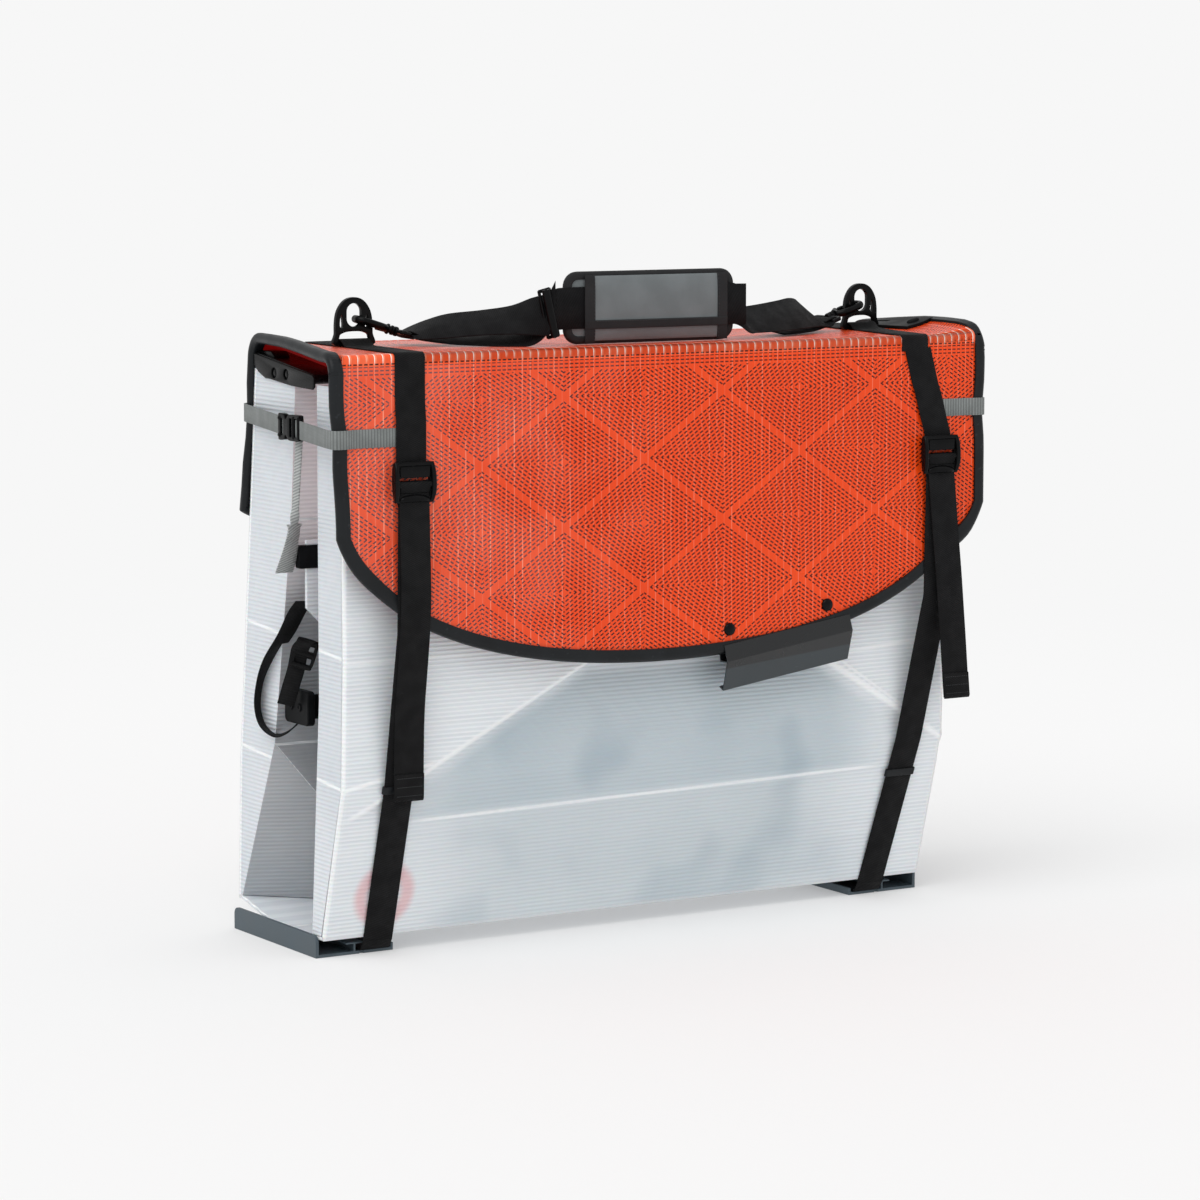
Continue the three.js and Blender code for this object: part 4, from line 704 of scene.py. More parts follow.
def smoothLoop(points, steps=5):
    rows = [Vector(p) for p in points]
    loop = []
    for i, b in enumerate(rows):
        a, c, d = rows[i - 1], rows[(i + 1) % len(rows)], rows[(i + 2) % len(rows)]
        loop += [tuple(curveAt(a, b, c, d, k / steps)) for k in range(steps)]
    return loop


# The second half of an outline is its first half, mirrored and walked back
def mirrored(half, u=1, v=-1):
    return [*half, *((a * u, b * v) for a, b in reversed(half))]


def arcPoints(centre, radius, angles):
    turns = [math.radians(angle) for angle in angles]
    return [(centre[0] + radius * math.cos(t), centre[1] + radius * math.sin(t)) for t in turns]


# A flat plate with holes, drawn in its own plane from w = low to w = high
def plate(outline, holes, low, high, width=0.6, segments=2):
    bm = bmesh.new()
    for loop in [outline, *holes]:
        verts = [bm.verts.new((u, v, low)) for u, v in loop]
        for a, b in zip(verts, verts[1:] + verts[:1]):
            bm.edges.new((a, b))
    bmesh.ops.triangle_fill(bm, use_beauty=True, use_dissolve=False, edges=bm.edges[:])
    made = bmesh.ops.extrude_face_region(bm, geom=bm.faces[:])["geom"]
    risen = [part for part in made if isinstance(part, bmesh.types.BMVert)]
    bmesh.ops.translate(bm, vec=(0, 0, high - low), verts=risen)
    bmesh.ops.recalc_face_normals(bm, faces=bm.faces)
    if width:
        soften(bm, width, segments, 50)
    return bm


# Turns a plate's own plane (u, v, w) to face along an axis of the object: to the front with u to X,
# v to Z and w to -Y, and to the right with u to Y, v to Z and w to X
facing = {
    "front": Matrix(((1, 0, 0, 0), (0, 0, -1, 0), (0, 1, 0, 0), (0, 0, 0, 1))),
    "right": Matrix(((0, 0, 1, 0), (1, 0, 0, 0), (0, 1, 0, 0), (0, 0, 0, 1))),
}


# A plate at its place on the object
def cast(outline, holes, low, high, width, segments, place=(0, 0, 0), face="right"):
    return settle(plate(outline, holes, low, high, width, segments), place, facing[face])


# A round bar along a route
def rod(radius, route, inward=xAxis, count=12, squash=1.0):
    return sweep(roundSection(radius, count, squash), route, inward)


def moulded(name, parts, body, node, angle=50, look="plastic"):
    whole = gather(*parts) if isinstance(parts, list) else parts
    return finished(name, whole, look, body, [node], angle)


# A round piece turned about an axis from (radius, height) points
def turned(profile, steps=24):
    bm = bmesh.new()
    verts = [bm.verts.new((r, 0, h)) for r, h in profile]
    edges = [bm.edges.new(pair) for pair in zip(verts, verts[1:])]
    bmesh.ops.spin(bm, geom=verts + edges, cent=(0, 0, 0), axis=(0, 0, 1), angle=2 * math.pi,
                   steps=steps, use_merge=True)
    bmesh.ops.remove_doubles(bm, verts=bm.verts, dist=1e-4)
    return bm


def along(table, at):
    i = 1
    while i < len(table) - 1 and at > table[i][0]:
        i += 1
    (a, left), (b, right) = table[i - 1], table[i]
    return left + (right - left) * (at - a) / (b - a)


print("helpers ready")


# Hull: the inner panels keep their folds, and the plastic is white along each fold
hullPanels = {
    "hull_front_inner": ("hullFrontInner", ["sheetInner", "fold", "sheetEnd"]),
    "hull_back_inner": ("hullBackInner", ["sheetInner", "fold", "sheetEnd"]),
    "hull_front_leaf": ("hullFrontLeaf", ["sheetInner", "fold"]),
    "hull_back_leaf": ("hullBackLeaf", ["sheetInner", "fold"]),
    "hull_bottom": ("hullBottom", ["sheetBright", "fold"]),
}
# width and steps of the rounding, and from which bend to which, in degrees
foldShape = {"gentle": (0.0016, 2, 0.8, 60), "sharp": (0.0014, 3, 70)}
# outer walls from the side, as (height, depth)
frontLine = [(21, -113), (200, -163), (345, -168), (654.5, -168)]
backLine = [(37, 101), (200, 94), (345, 79), (654.5, 46)]


def smooth(value, low, high):
    share = min(1.0, max(0.0, (value - low) / (high - low)))
    return share * share * (3 - 2 * share)


def makeOuterWall(name, node, outward, line):
    w = wallShape
    foot, top = line[0][0], hull["top"]
    bm = bmesh.new()
    bmesh.ops.create_grid(bm, x_segments=150, y_segments=120, size=0.5)
    for vert in bm.verts:
        x, z = vert.co.x * 2 * hull["half"], foot + (top - foot) * (vert.co.y + 0.5)
        start, slope = w["left" if x < 0 else "right"]
        reach = min(w["pleatTop"], w["pleatTop"] - slope * (abs(x) - start)) - z
        rise = z - x * w["climb"] - w["low"]
        sink = w["sunk"] * smooth(reach, 0, 13) * min(1.0, max(0.0, rise / 150))
        ridge = w["ridge"] * math.exp(-(reach - 3) ** 2 / 50) * smooth(rise, 0, 40)
        ridge += w["lowRidge"] * math.exp(-rise ** 2 / 40) * (1 - smooth(abs(x), 290, 340))
        calm = smooth(hull["half"] - abs(x), 0, w["calm"]) * smooth(z, foot, foot + w["calm"])
        calm *= smooth(top - z, 0, w["calm"])
        height = noise.noise(Vector((x * 0.009, outward * 3, z * 0.012)))
        ripple = w["ripple"] * calm * (0.5 + height)
        peak = w["opened"] * smooth(z, 560, top) * smooth(-x, 320, w["end"]) if outward > 0 else 0
        vert.co = (x, along(line, z) + outward * (ridge - sink - ripple), z + peak)
    bmesh.ops.recalc_face_normals(bm, faces=bm.faces)
    if sum(face.normal.y for face in bm.faces) * outward < 0:
        bmesh.ops.reverse_faces(bm, faces=bm.faces)
    wall = finished(name, settle(bm), "sheetWall", "case", [node], angle=60,
                    recalc=False)
    solid = wall.modifiers.new("sheet", "SOLIDIFY")
    solid.thickness, solid.offset = hull["sheet"] / 1000, -1


def makeHull():
    makeOuterWall("hullFrontWall", "hull_front_outer", -1, frontLine)
    makeOuterWall("hullBackWall", "hull_back_outer", 1, backLine)
    for node, (name, keys) in hullPanels.items():
        bm = nodeCopy(node, 0.35)
        # on the inner walls, faces that look along X get the lighter end sheet, and the rest keep
        # the inner sheet's painted shade
        for face in bm.faces:
            if len(keys) > 2 and abs(face.normal.x) > 0.7:
                face.material_index = 2
        for fold in (foldShape["gentle"], foldShape["sharp"]):
            for face in soften(bm, *fold):
                face.material_index = 1
        for vert in bm.verts:
            if "back" in node and vert.co.z > 0.63 and vert.co.x < -0.38:
                rise = smooth(vert.co.y * 1000 - railShift, -10, 40)
                vert.co.z += wallShape["opened"] / 1000 * rise
        finished(name, bm, keys, "case", [node], weighted=True, recalc=False)
    for node, name in {"seat_back": "seatBackPanel", "bulkhead_bow": "bowBulkhead",
                       "bulkhead_stern": "sternBulkhead"}.items():
        refine(name, node, "sheetBright", 0.8)


makeHull()
print("hull made")


# Cover: three boards, a crease strip that bends, and the edge trim
flapShape = {"front": (204, 368), "back": (196, 236)}
flapCurve = {"low": 0.6, "side": 0.925, "rise": 0.44, "steps": 40}
trim = {"wide": 15.5, "wall": 2.2, "half": 6.2, "slot": 2.8, "frontArc": 21.0, "backArc": 24.0,
        "tuck": 4.0}
# the board has sprung: how much wider its ends stand in front and behind, where they begin to
# lift, by how much, and the share of that lift at each depth
sprung = {
    "left": {"front": 12, "taper": 8, "back": -12, "from": 352, "lift": 11.5,
             "rise": [(-230, 0), (-196, 0), (-160, 0.04), (-120, 0.38), (-80, 0.7), (-40, 0.94),
                      (10, 1), (60, 1), (120, 1)]},
    "right": {"front": 18, "taper": 0, "back": 4, "from": 378, "lift": 14,
              "rise": [(-230, 0.1), (-196, 0.14), (-184, 0.62), (-165, 0.9), (-130, 1), (-90, 1),
                       (-40, 0.75), (40, 0.3), (120, 0.2)]},
}


def spring(bm, widen=True):
    for vert in bm.verts:
        x, y, z = vert.co.x * 1000, vert.co.y * 1000 - railShift, vert.co.z * 1000
        side = -1 if x < 0 else 1
        shape = sprung["left" if x < 0 else "right"]
        if widen:
            share = min(1, max(0, (y + cover["front"]) / (cover["front"] + cover["back"])))
            spread = shape["front"] + (shape["back"] - shape["front"]) * share
            spread -= shape["taper"] * smooth(692 - z, 60, 200) * (y < -150)
            pinch = 3.2 * math.exp(-((z - 600) / 24) ** 2)  # the belt pulls the edge in
            vert.co.x += side * (spread - pinch) * smooth(abs(x), 378, 414) / 1000
        lift = shape["lift"] * along(shape["rise"], y) * smooth(abs(x), shape["from"], 432)
        vert.co.z += lift * smooth(z, 560, 692) / 1000
    return bm


def cutUp(bm, places, axis):
    normal = {"x": xAxis, "y": yAxis, "z": zAxis}[axis]
    for place in places:
        at = normal * (place + (railShift if axis == "y" else 0)) / 1000
        bmesh.ops.bisect_plane(bm, geom=bm.verts[:] + bm.edges[:] + bm.faces[:], dist=1e-6,
                               plane_co=at, plane_no=normal)
    return bm


endCuts = [side * x for side in (-1, 1) for x in (340, 352, 364, 376, 386, 396, 404, 412)]


def flapLine(half, side, drop, steps):
    c = flapCurve
    bulge = drop - side
    handles = spots((-half, -side), (-half * c["side"], -side - bulge * (1 - c["rise"])),
                    (-half * c["low"], -drop), (0, -drop))
    left = []
    for i in range(steps + 1):
        t = i / steps
        rows = handles
        while len(rows) > 1:
            rows = [a.lerp(b, t) for a, b in zip(rows, rows[1:])]
        left.append(rows[0])
    return left + [Vector((-p.x, p.y)) for p in reversed(left[:-1])]


def trimSection():
    half, slot, wide, wall = trim["half"], trim["slot"], trim["wide"], trim["wall"]
    lip = [(wide * 0.62, -half), (wide * 0.7, -half * 0.93), (wide - 1.2, -half * 0.97),
           (wide, -half + 0.6), (wide, -slot - 0.2), (wide - 0.5, -slot), (wall + 0.5, -slot),
           (wall, -slot + 0.5)]
    return [*arcPoints((half, 0), half, range(90, 271, 18)), *mirrored(lip)]


# Points in a flap's plane, seen from its crease: u runs along X and v upwards
def onFront(u, v):
    return Vector((u, -cover["front"] + cover["board"] / 2, cover["top"] + v))


def onBack(u, v):
    lean = cover["lean"]
    depth = -cover["board"] / 2
    return Vector((u, cover["back"] + depth * math.cos(lean) - v * math.sin(lean),
                   cover["top"] + depth * math.sin(lean) + v * math.cos(lean)))


def makeFrontTrim():
    half, arc = cover["half"], trim["frontArc"]
    start = -arc + trim["tuck"]
    flap = flapLine(half, *flapShape["front"], flapCurve["steps"])
    down = [start - (start + flapShape["front"][0]) * i / 14 for i in range(14)]
    # the first few millimetres are tucked into the end of the lid's trim
    line = [Vector((-half, v)) for v in down] + flap + [Vector((half, v)) for v in reversed(down)]
    # the left side runs down and the right side up, so the inside is on the left hand
    pairs = zip([line[0]] + line[:-1], line[1:] + [line[-1]])
    sides = [Vector((-(b - a).y, (b - a).x)) for a, b in pairs]
    route = [onFront(p.x, p.y) for p in line]
    inward = [Vector((s.x, 0, s.y)) for s in sides]
    bm = sweep(trimSection(), route, inward)
    for vert in bm.verts:
        if vert.co.z > cover["top"] - arc:
            vert.co.y = route[0].y + (vert.co.y - route[0].y) * 0.9
            vert.co.x *= 0.9985
    spring(settle(bm))
    finished("trimFront", bm, "trim", "front_flap",
             ["trim_front"], weighted=True)


def makeRearTrim():
    half, top, front = cover["half"], cover["top"], cover["front"]
    middle = top - cover["board"] / 2
    line = flapLine(half, *flapShape["back"], flapCurve["steps"])
    lean = cover["lean"]

    def corner(centre, radius, start, end, side):
        arc = arcPoints(centre, radius, [start + (end - start) * i / 10 for i in range(11)])
        return [Vector((side * half, y, z)) for y, z in arc]

    frontRadius = trim["frontArc"] - cover["board"] / 2
    frontCentre = (-front + trim["frontArc"], top - trim["frontArc"])
    # the rear corner's arc touches the top's middle line and the leaning flap's middle line
    radius = trim["backArc"]
    reach = radius * math.tan(math.radians(90 - math.degrees(lean)) / 2)
    meet = onBack(0, 0)
    rise = (middle - meet.z) / math.cos(lean)
    cornerAt = onBack(0, rise)
    rearCentre = (cornerAt.y - reach, middle - radius)
    route, inward = [], []
    for side in (-1, 1):
        run = spots((side * half, -front + cover["board"] / 2, top - trim["frontArc"] + 0.1))
        run += corner(frontCentre, frontRadius, 180, 90, side)
        ahead, behind = run[-1].y, rearCentre[0]
        run += [Vector((side * half, ahead + (behind - ahead) * i / 16, middle))
                for i in range(1, 16)]
        run += corner(rearCentre, radius, 90, math.degrees(lean), side)
        flap = [onBack(p.x, p.y) for p in (line if side < 0 else line[::-1])]
        count = len(flap) // 2
        run += [run[-1].lerp(flap[0], i / 6) for i in range(1, 6)]
        sides = spots((-side, 0, 0)) * len(run)
        flat = line if side < 0 else line[::-1]
        for i in range(count + 1):
            a, b = flat[max(i - 1, 0)], flat[min(i + 1, len(flat) - 1)]
            step = (b - a).normalized()
            normal = Vector((-step.y, step.x)) if side < 0 else Vector((step.y, -step.x))
            sides.append(Vector((normal.x, -normal.y * math.sin(lean), normal.y * math.cos(lean))))
        run += flap[:count + 1]
        if side > 0:
            run, sides = run[::-1][1:], sides[::-1][1:]
        route += run
        inward += sides
    finished("trimRear", spring(settle(sweep(trimSection(), route, inward))), "trim", "case",
             ["trim_rear"], weighted=True)


# How far a board stays inside its trim, and how its upper corners are cut back for the trim's arc;
# the fold has a thin skin round a bend
boardShape = {"inset": 2.5, "shoulder": 13, "head": 6.0, "notch": 22, "rearNotch": 30,
              "skin": 0.35, "bend": 4.5}


# A flap's outline, with its upper corners cut back
def boardPlate(side, drop, head, notch):
    half = cover["half"] - boardShape["inset"]
    line = flapLine(half, side, drop - boardShape["inset"], 30)
    shoulder = half - boardShape["shoulder"]
    return [(-half, -notch), *[(p.x, p.y) for p in line], (half, -notch), (shoulder, -notch),
            (shoulder, -head), (-shoulder, -head), (-shoulder, -notch)]


def finishBoard(name, bm, cuts, axis, under, body, node):
    spring(cutUp(cutUp(bm, endCuts, "x"), cuts, axis))
    for face in bm.faces:
        face.normal_update()
        if face.normal.dot(under) > 0.5:
            face.material_index = 1
    finished(name, bm, [name, "boardUnder"], body, [node], weighted=True,
             recalc=False)


def makeBoards():
    board, half = cover["board"], cover["half"] - boardShape["inset"]
    flap = boardPlate(*flapShape["front"], boardShape["head"], boardShape["notch"])
    front = cast(flap, [], 0, board, 0.3, 1, (0, -cover["front"] + board, cover["top"]), "front")
    finishBoard("boardFront", front, range(480, 690, 15), "z", yAxis, "front_flap", "cover_front")
    flap = boardPlate(*flapShape["back"], boardShape["head"], boardShape["rearNotch"])
    back = settle(plate(flap, [], 0, board, 0.3, 1), (0, cover["back"], cover["top"]),
                  Matrix.Rotation(cover["lean"], 4, "X") @ facing["front"])
    finishBoard("boardBack", back, range(520, 690, 20), "z", -yAxis, "case", "cover_back")
    shoulder = half - boardShape["shoulder"]
    near, far = -cover["front"], cover["back"]
    outline = [(-half, near + 17), (-shoulder, near + 17), (-shoulder, near + 5),
               (shoulder, near + 5), (shoulder, near + 17), (half, near + 17), (half, far - 22),
               (shoulder, far - 22), (shoulder, far - 1), (-shoulder, far - 1),
               (-shoulder, far - 22), (-half, far - 22)]
    top = settle(plate(outline, [], cover["top"] - board, cover["top"], 0.3, 1))
    cuts = [-190, -184, -178, -170, *range(-160, 50, 15)]
    finishBoard("boardTop", top, cuts, "y", -zAxis, "case", "cover_top")
    # the crease: a skin over the fold, round its bend
    skin, radius = boardShape["skin"], boardShape["bend"]
    centre = (near + radius, cover["top"] - radius)
    section = spots((0, near + 15, cover["top"] + skin / 2), (0, near + 9, cover["top"] + skin / 2))
    bend = arcPoints(centre, radius + skin / 2, range(90, 181, 10))
    section += [Vector((0, y, z)) for y, z in bend]
    section += spots((0, near - skin / 2, cover["top"] - 9),
                     (0, near - skin / 2, cover["top"] - 13))
    bm = sweep(stripSection(2 * shoulder, skin), section, xAxis)
    bm = spring(cutUp(settle(bm), endCuts, "x"))
    crease = finished("boardCrease", bm, "crease", None, angle=60)
    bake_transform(crease)
    # the rear fold, on the same board
    lean = cover["lean"]
    centre = (far - radius, cover["top"] - radius)
    section = spots((0, far - 12, cover["top"] + skin / 2), (0, far - 6, cover["top"] + skin / 2))
    stop = 90 - math.degrees(lean)
    bend = arcPoints(centre, radius + skin / 2, [90 - stop * i / 8 for i in range(9)])
    section += [Vector((0, y, z)) for y, z in bend]
    section.append(section[-1] + Vector((0, math.sin(lean), -math.cos(lean))) * 8)
    bm = sweep(stripSection(2 * shoulder, skin), section, xAxis)
    finished("boardRearFold", spring(cutUp(settle(bm), endCuts, "x")), "crease", "case",
             angle=60)


makeFrontTrim()
makeRearTrim()
makeBoards()
print("cover made")


# Keeper channel and its domed rivets
rivet = {"radius": 7.6, "rim": 1.2, "rise": 4.6}


def makeKeeper():
    refine("keeperChannel", "keeper_channel", "keeper", 0.6, 3)
    for number in (1, 2):
        low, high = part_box(f"keeper_rivet_{number}")
        centre = (low + high) / 2 * 1000
        dome = [(0, rivet["rise"])]
        dome += [(rivet["radius"] * math.sin(math.radians(a)),
                  rivet["rim"] + (rivet["rise"] - rivet["rim"]) * math.cos(math.radians(a)))
                 for a in (20, 40, 60, 75, 90)]
        dome += [(rivet["radius"], 0.3), (rivet["radius"] - 0.3, 0), (0, 0)]
        bm = settle(turned(dome), (centre.x, high.y * 1000 - railShift, centre.z), turnBy(90, "X"))
        moulded(f"keeperRivet{number}", bm, "front_flap", f"keeper_rivet_{number}", 35)


makeKeeper()


# Rails
for sideName in ends:
    refine("rail" + sideName.capitalize(), "rail_" + sideName, "rail", 0.5, 3)
print("rails and keeper made")


# Black webbing round the box
webbing = {"wide": 38, "thick": 1.6}


# Gives a hanging strap a slight sway to the front
def waver(route, amount, seed, fixed=2):
    swayed = []
    for i, point in enumerate(route):
        share = min(1.0, i / 12, (len(route) - 1 - i) / 12) if fixed else 1.0
        height = noise.noise(Vector((i * 0.11, seed, 0)))
        swayed.append(point + Vector((0, -amount * share * (0.5 + height), 0)))
    return swayed


def strap(name, route, body, nodes, look="webbing", wide=None, thick=None,
          across=xAxis, onLid=False):
    section = stripSection(wide or webbing["wide"], thick or webbing["thick"])
    bm = settle(sweep(section, route, across))
    if onLid:
        spring(bm, widen=False)
    return finished(name, bm, look, body, nodes, angle=50)


# A row of stitches, each a small grain that lies along the row
def threadRow(name, places, direction, body, up="Y", long=2.2, wide=0.55):
    parts = []
    turn = direction.to_track_quat("X", up).to_matrix().to_4x4()
    for place in places:
        bm = bmesh.new()
        bmesh.ops.create_uvsphere(bm, u_segments=6, v_segments=4, radius=0.5)
        bmesh.ops.scale(bm, vec=(long, wide, wide), verts=bm.verts)
        parts.append(settle(bm, place, turn))
    return finished(name, gather(*parts), "thread", body)


def lowerRoute(sideName):
    at = strapAt[sideName]
    mix = lambda height: at["rail"] + (at["buckle"] - at["rail"]) * min(height, 380) / 380
    return spots((at["rail"], -105.1, 3.8), (at["rail"], -116.4, 21), (mix(200), -166.4, 200),
                 (mix(380), -199.7, 380), (at["buckle"], -203, 523.7))


def makeStraps():
    flapFace = lambda height: cover["back"] + (cover["top"] - height) * math.tan(cover["lean"])
    for sideName, side in ends.items():
        at = strapAt[sideName]
        climb = lambda height: at["rail"] + (at["back"] - at["rail"]) * height / cover["top"]
        word = sideName.capitalize()
        rear = [Vector(p) for p in (
            (at["rail"], -100, 4.6), (at["rail"], 105.1, 4.6), (at["rail"], 105.1, 37),
            (climb(200), 95.1, 200),
            (climb(345), 80.1, 345), (climb(430), along(backLine, 430) + 1.1, 430),
            (climb(468), flapFace(468) + 3.7, 468), (at["back"], 54.2, 693.1),
            (at["ring"], -31, 693.1),
            (at["ring"], -40.1, 700.7), (at["ring"], -49.9, 700.7), (at["ring"], -59, 693.1),
            (at["crease"], -188, 693.1))]
        strap("strapRear" + word, spaced(rounded(rear, 7), 14), "case", ["strap_rear_" + sideName],
              onLid=True)
        # over the front crease, from the lid's top to the flap
        bend = spots((at["crease"], -184, 693.15), (at["crease"], -197.1, 693.15),
                     (at["crease"], -197.1, 674))
        over = strap("strapBend" + word, spaced(rounded(bend, 6, 8), 3), None, (), onLid=True)
        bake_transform(over)
        slope = lambda height: at["crease"] + (at["buckle"] - at["crease"]) * (692 - height) / 122.5
        # it lies over the belt, then turns round the buckle's upper bar
        upper = [Vector(p) for p in (
            (slope(678), -197.1, 678), (slope(636), -197.2, 636), (slope(620), -199.2, 620),
            (slope(592), -199.3, 592), (at["buckle"], -199.0, 575), (at["buckle"], -199.2, 556.5),
            (at["buckle"], -206.8, 556.2), (at["buckle"], -207.2, 565))]
        strap("strapUpper" + word, waver(spaced(rounded(upper, 4), 5), 0.2, side), "front_flap",
              ["strap_upper_" + sideName])
        lower = lowerRoute(sideName)
        foot = [Vector((at["rail"], -96, 4.4)), Vector((at["rail"], -105.6, 4.4)),
                lower[1].lerp(lower[0], 0.3)]
        fold = strap("strapFoot" + word, spaced(rounded(foot, 4, 6), 3), None, ())
        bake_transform(fold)
        up = [lower[1].lerp(lower[0], 0.35), *lower[2:4], lower[4],
              Vector((at["buckle"], -202.0, 542)), Vector((at["buckle"], -203.5, 551.5)),
              Vector((at["buckle"], -210.6, 549)), Vector((at["buckle"], -206.4, 538))]
        strap("strapLower" + word, spaced(rounded(up, 5), 10), f"lower_strap_{sideName}",
              ["strap_lower_" + sideName])
        top = Vector((at["buckle"], -206.2, 537))
        if side < 0:
            tail = [top, Vector((at["buckle"], -206.2, 519)),
                    Vector((at["buckle"] + 2, -206.2, 400)), Vector((-340, -184, 285)),
                    Vector((-334, -170.6, 186))]
        else:
            tail = [top, Vector((at["buckle"] + 1, -207.0, 519)),
                    Vector((at["buckle"] + 14, -208.4, 380)),
                    Vector((at["buckle"] + 26, -207, 254))]
        route = waver(spaced(rounded(tail, 30, 8), 10), 0.8, side * 3)
        strap("strapTail" + word, route, f"lower_strap_{sideName}", ["strap_tail_" + sideName])
        # the hem: the end is turned over once and sewn across
        end, back = route[-1], route[-4]
        hem = [back + Vector((0, -1.7, 0)), end + Vector((0, -1.7, 0.6)),
               end + Vector((0, -0.8, -0.9)), end]
        strap("strapHem" + word, hem, f"lower_strap_{sideName}", (), wide=37.6)
        for row, share in enumerate((0.15, 0.5, 0.85)):
            middle = end.lerp(back, share) + Vector((0, -2.6, 0))
            places = [middle + xAxis * (2.75 * (i - 5.5)) for i in range(12)]
            threadRow(f"hemStitch{word}{row}", places, xAxis, f"lower_strap_{sideName}",
                      "Z", 2.0)


makeStraps()


# Elastic keepers: thin bands round the lower straps, with the left tail hanging in front
def makeKeepers():
    keeper = {"height": 9, "wall": 1.2, "left": 198, "right": 158}
    for sideName in ends:
        lower = lowerRoute(sideName)
        share = (keeper[sideName] - lower[1].z) / (lower[2].z - lower[1].z)
        at = lower[1].lerp(lower[2], share)
        climb = (lower[2] - lower[1]).normalized()
        normal = climb.cross(xAxis).normalized()
        loop = [Vector((u, v, 0)) for u, v in boxLoop(-20.6, -1.9, 20.6, 1.9, 1.6, 4)]
        route = [at + xAxis * p.x + normal * p.y for p in [*loop, loop[0], loop[1]]]
        inward = [climb] * len(route)
        section = boxLoop(-keeper["height"] / 2, -keeper["wall"] / 2, keeper["height"] / 2,
                          keeper["wall"] / 2, 0.5, 2)
        finished("strapKeeper" + sideName.capitalize(), settle(sweep(section, route, inward)),
                 "trim", f"band_{sideName}", ["strap_keeper_" + sideName],
                 angle=50)


makeKeepers()
print("straps made")


# Ladder buckles: a wide bar for the sewn strap, a slit, a round bar and the thumb lip. Each bar
# has its height, depth, radius and squash
ladder = {
    "back": 201.5, "front": 207.2, "cheek": 2.9, "barHalf": 21.5,
    "bars": ((547.0, -206.6, 4.3, 0.85), (569.4, -206.4, 2.1, 1.0)), "lip": (19.5, 4.6, 6.4),
}


def makeLadders():
    for sideName in ends:
        x = strapAt[sideName]["buckle"]
        outline = smoothLoop([(-23.5, 571.6), (-12, 572.4), (12, 572.4), (23.5, 571.6),
                              (25.4, 565), (26, 553), (25.4, 540), (23.6, 530), (19, 526),
                              (8, 525), (-8, 525), (-19, 526), (-23.6, 530), (-25.4, 540),
                              (-26, 553), (-25.4, 565)], 4)
        holes = [boxLoop(-19.6, 550.6, 19.6, 554.4, 1.2), boxLoop(-19.6, 533.5, 19.6, 543.5, 1.6)]
        parts = [cast(outline, holes, ladder["back"], ladder["front"], 1.7, 4, (x, 0, 0), "front")]
        # side cheeks stand proud of the frame
        for k in (-1, 1):
            cheek = spots((x + k * 22.6, -204.6, 571.0), (x + k * 23.2, -208.2, 562),
                          (x + k * 23.6, -209.6, 549), (x + k * 23.2, -208.8, 537),
                          (x + k * 22.0, -204.8, 528.0))
            route, _ = throughPoints(cheek, cheek, 5)
            parts.append(settle(rod(ladder["cheek"], route, squash=1.1)))
        for height, depth, radius, squash in ladder["bars"]:
            bar = spots(*((x + k * ladder["barHalf"], depth, height) for k in (-1, 1)))
            parts.append(settle(rod(radius, spaced(bar, 14), zAxis, 16, squash)))
        # the sewn strap wraps the wide bar
        wide = boxLoop(-18.6, 555.6, 18.6, 567.0, 2.2, 4)
        parts.append(cast(wide, [], 206.6, 208.6, 0.9, 3, (x, 0, 0), "front"))
        # the thumb lip: a lens that leans forward at the foot
        lip = bmesh.new()
        bmesh.ops.create_uvsphere(lip, u_segments=32, v_segments=16, radius=1.0)
        bmesh.ops.scale(lip, vec=ladder["lip"], verts=lip.verts)
        bmesh.ops.bisect_plane(lip, geom=lip.verts[:] + lip.edges[:] + lip.faces[:],
                               plane_co=(0, 0, -3.0), plane_no=(0, 0, -1), clear_outer=True)
        bmesh.ops.holes_fill(lip, edges=lip.edges, sides=80)
        settle(lip, (x, -207.0, 530.0), turnBy(-20, "X"))
        parts.append(lip)
        moulded("ladderBuckle" + sideName.capitalize(), parts, f"ladder_{sideName}",
                "strap_buckle_" + sideName, 40)


makeLadders()


# Carry rings: an arch with an oval eye, two side slits and the window for the strap
ring = {"depth": -45, "axis": 696, "thick": 6.0, "squat": 0.94}


def makeRings():
    squat = ring["squat"]
    flank = [(-23.9, -2.5), (-23.9, 12), (-23.6, 26), (-21.2, 39), (-14.5, 50), (-5.5, 55.4)]
    arch = smoothLoop([(u, v * squat) for u, v in mirrored(flank, -1, 1)], 4)
    eye = boxLoop(-9.6, 19.0, 9.6, 45.8, 9.4, 7)
    window = smoothLoop([(-19.2, 2.7), (-19.2, 7), (-17.6, 10.6), (-10, 13.2), (0, 13.8),
                         (10, 13.2), (17.6, 10.6), (19.2, 7), (19.2, 2.7), (6, 2.5), (-6, 2.5)], 3)
    slits = [smoothLoop([(k * 14.2, 19.0), (k * 17.0, 17.8), (k * 18.4, 21), (k * 18.0, 28),
                         (k * 16.6, 33), (k * 15.0, 31), (k * 14.2, 25)], 3) for k in (-1, 1)]
    for sideName in ends:
        x = strapAt[sideName]["ring"]
        body = cast(arch, [eye, window, *slits], -ring["thick"] / 2, ring["thick"] / 2, 1.5, 4,
                    (x, ring["depth"], ring["axis"]), "front")
        moulded("carryRing" + sideName.capitalize(), body, f"carry_ring_{sideName}",
                "ring_" + sideName)


makeRings()


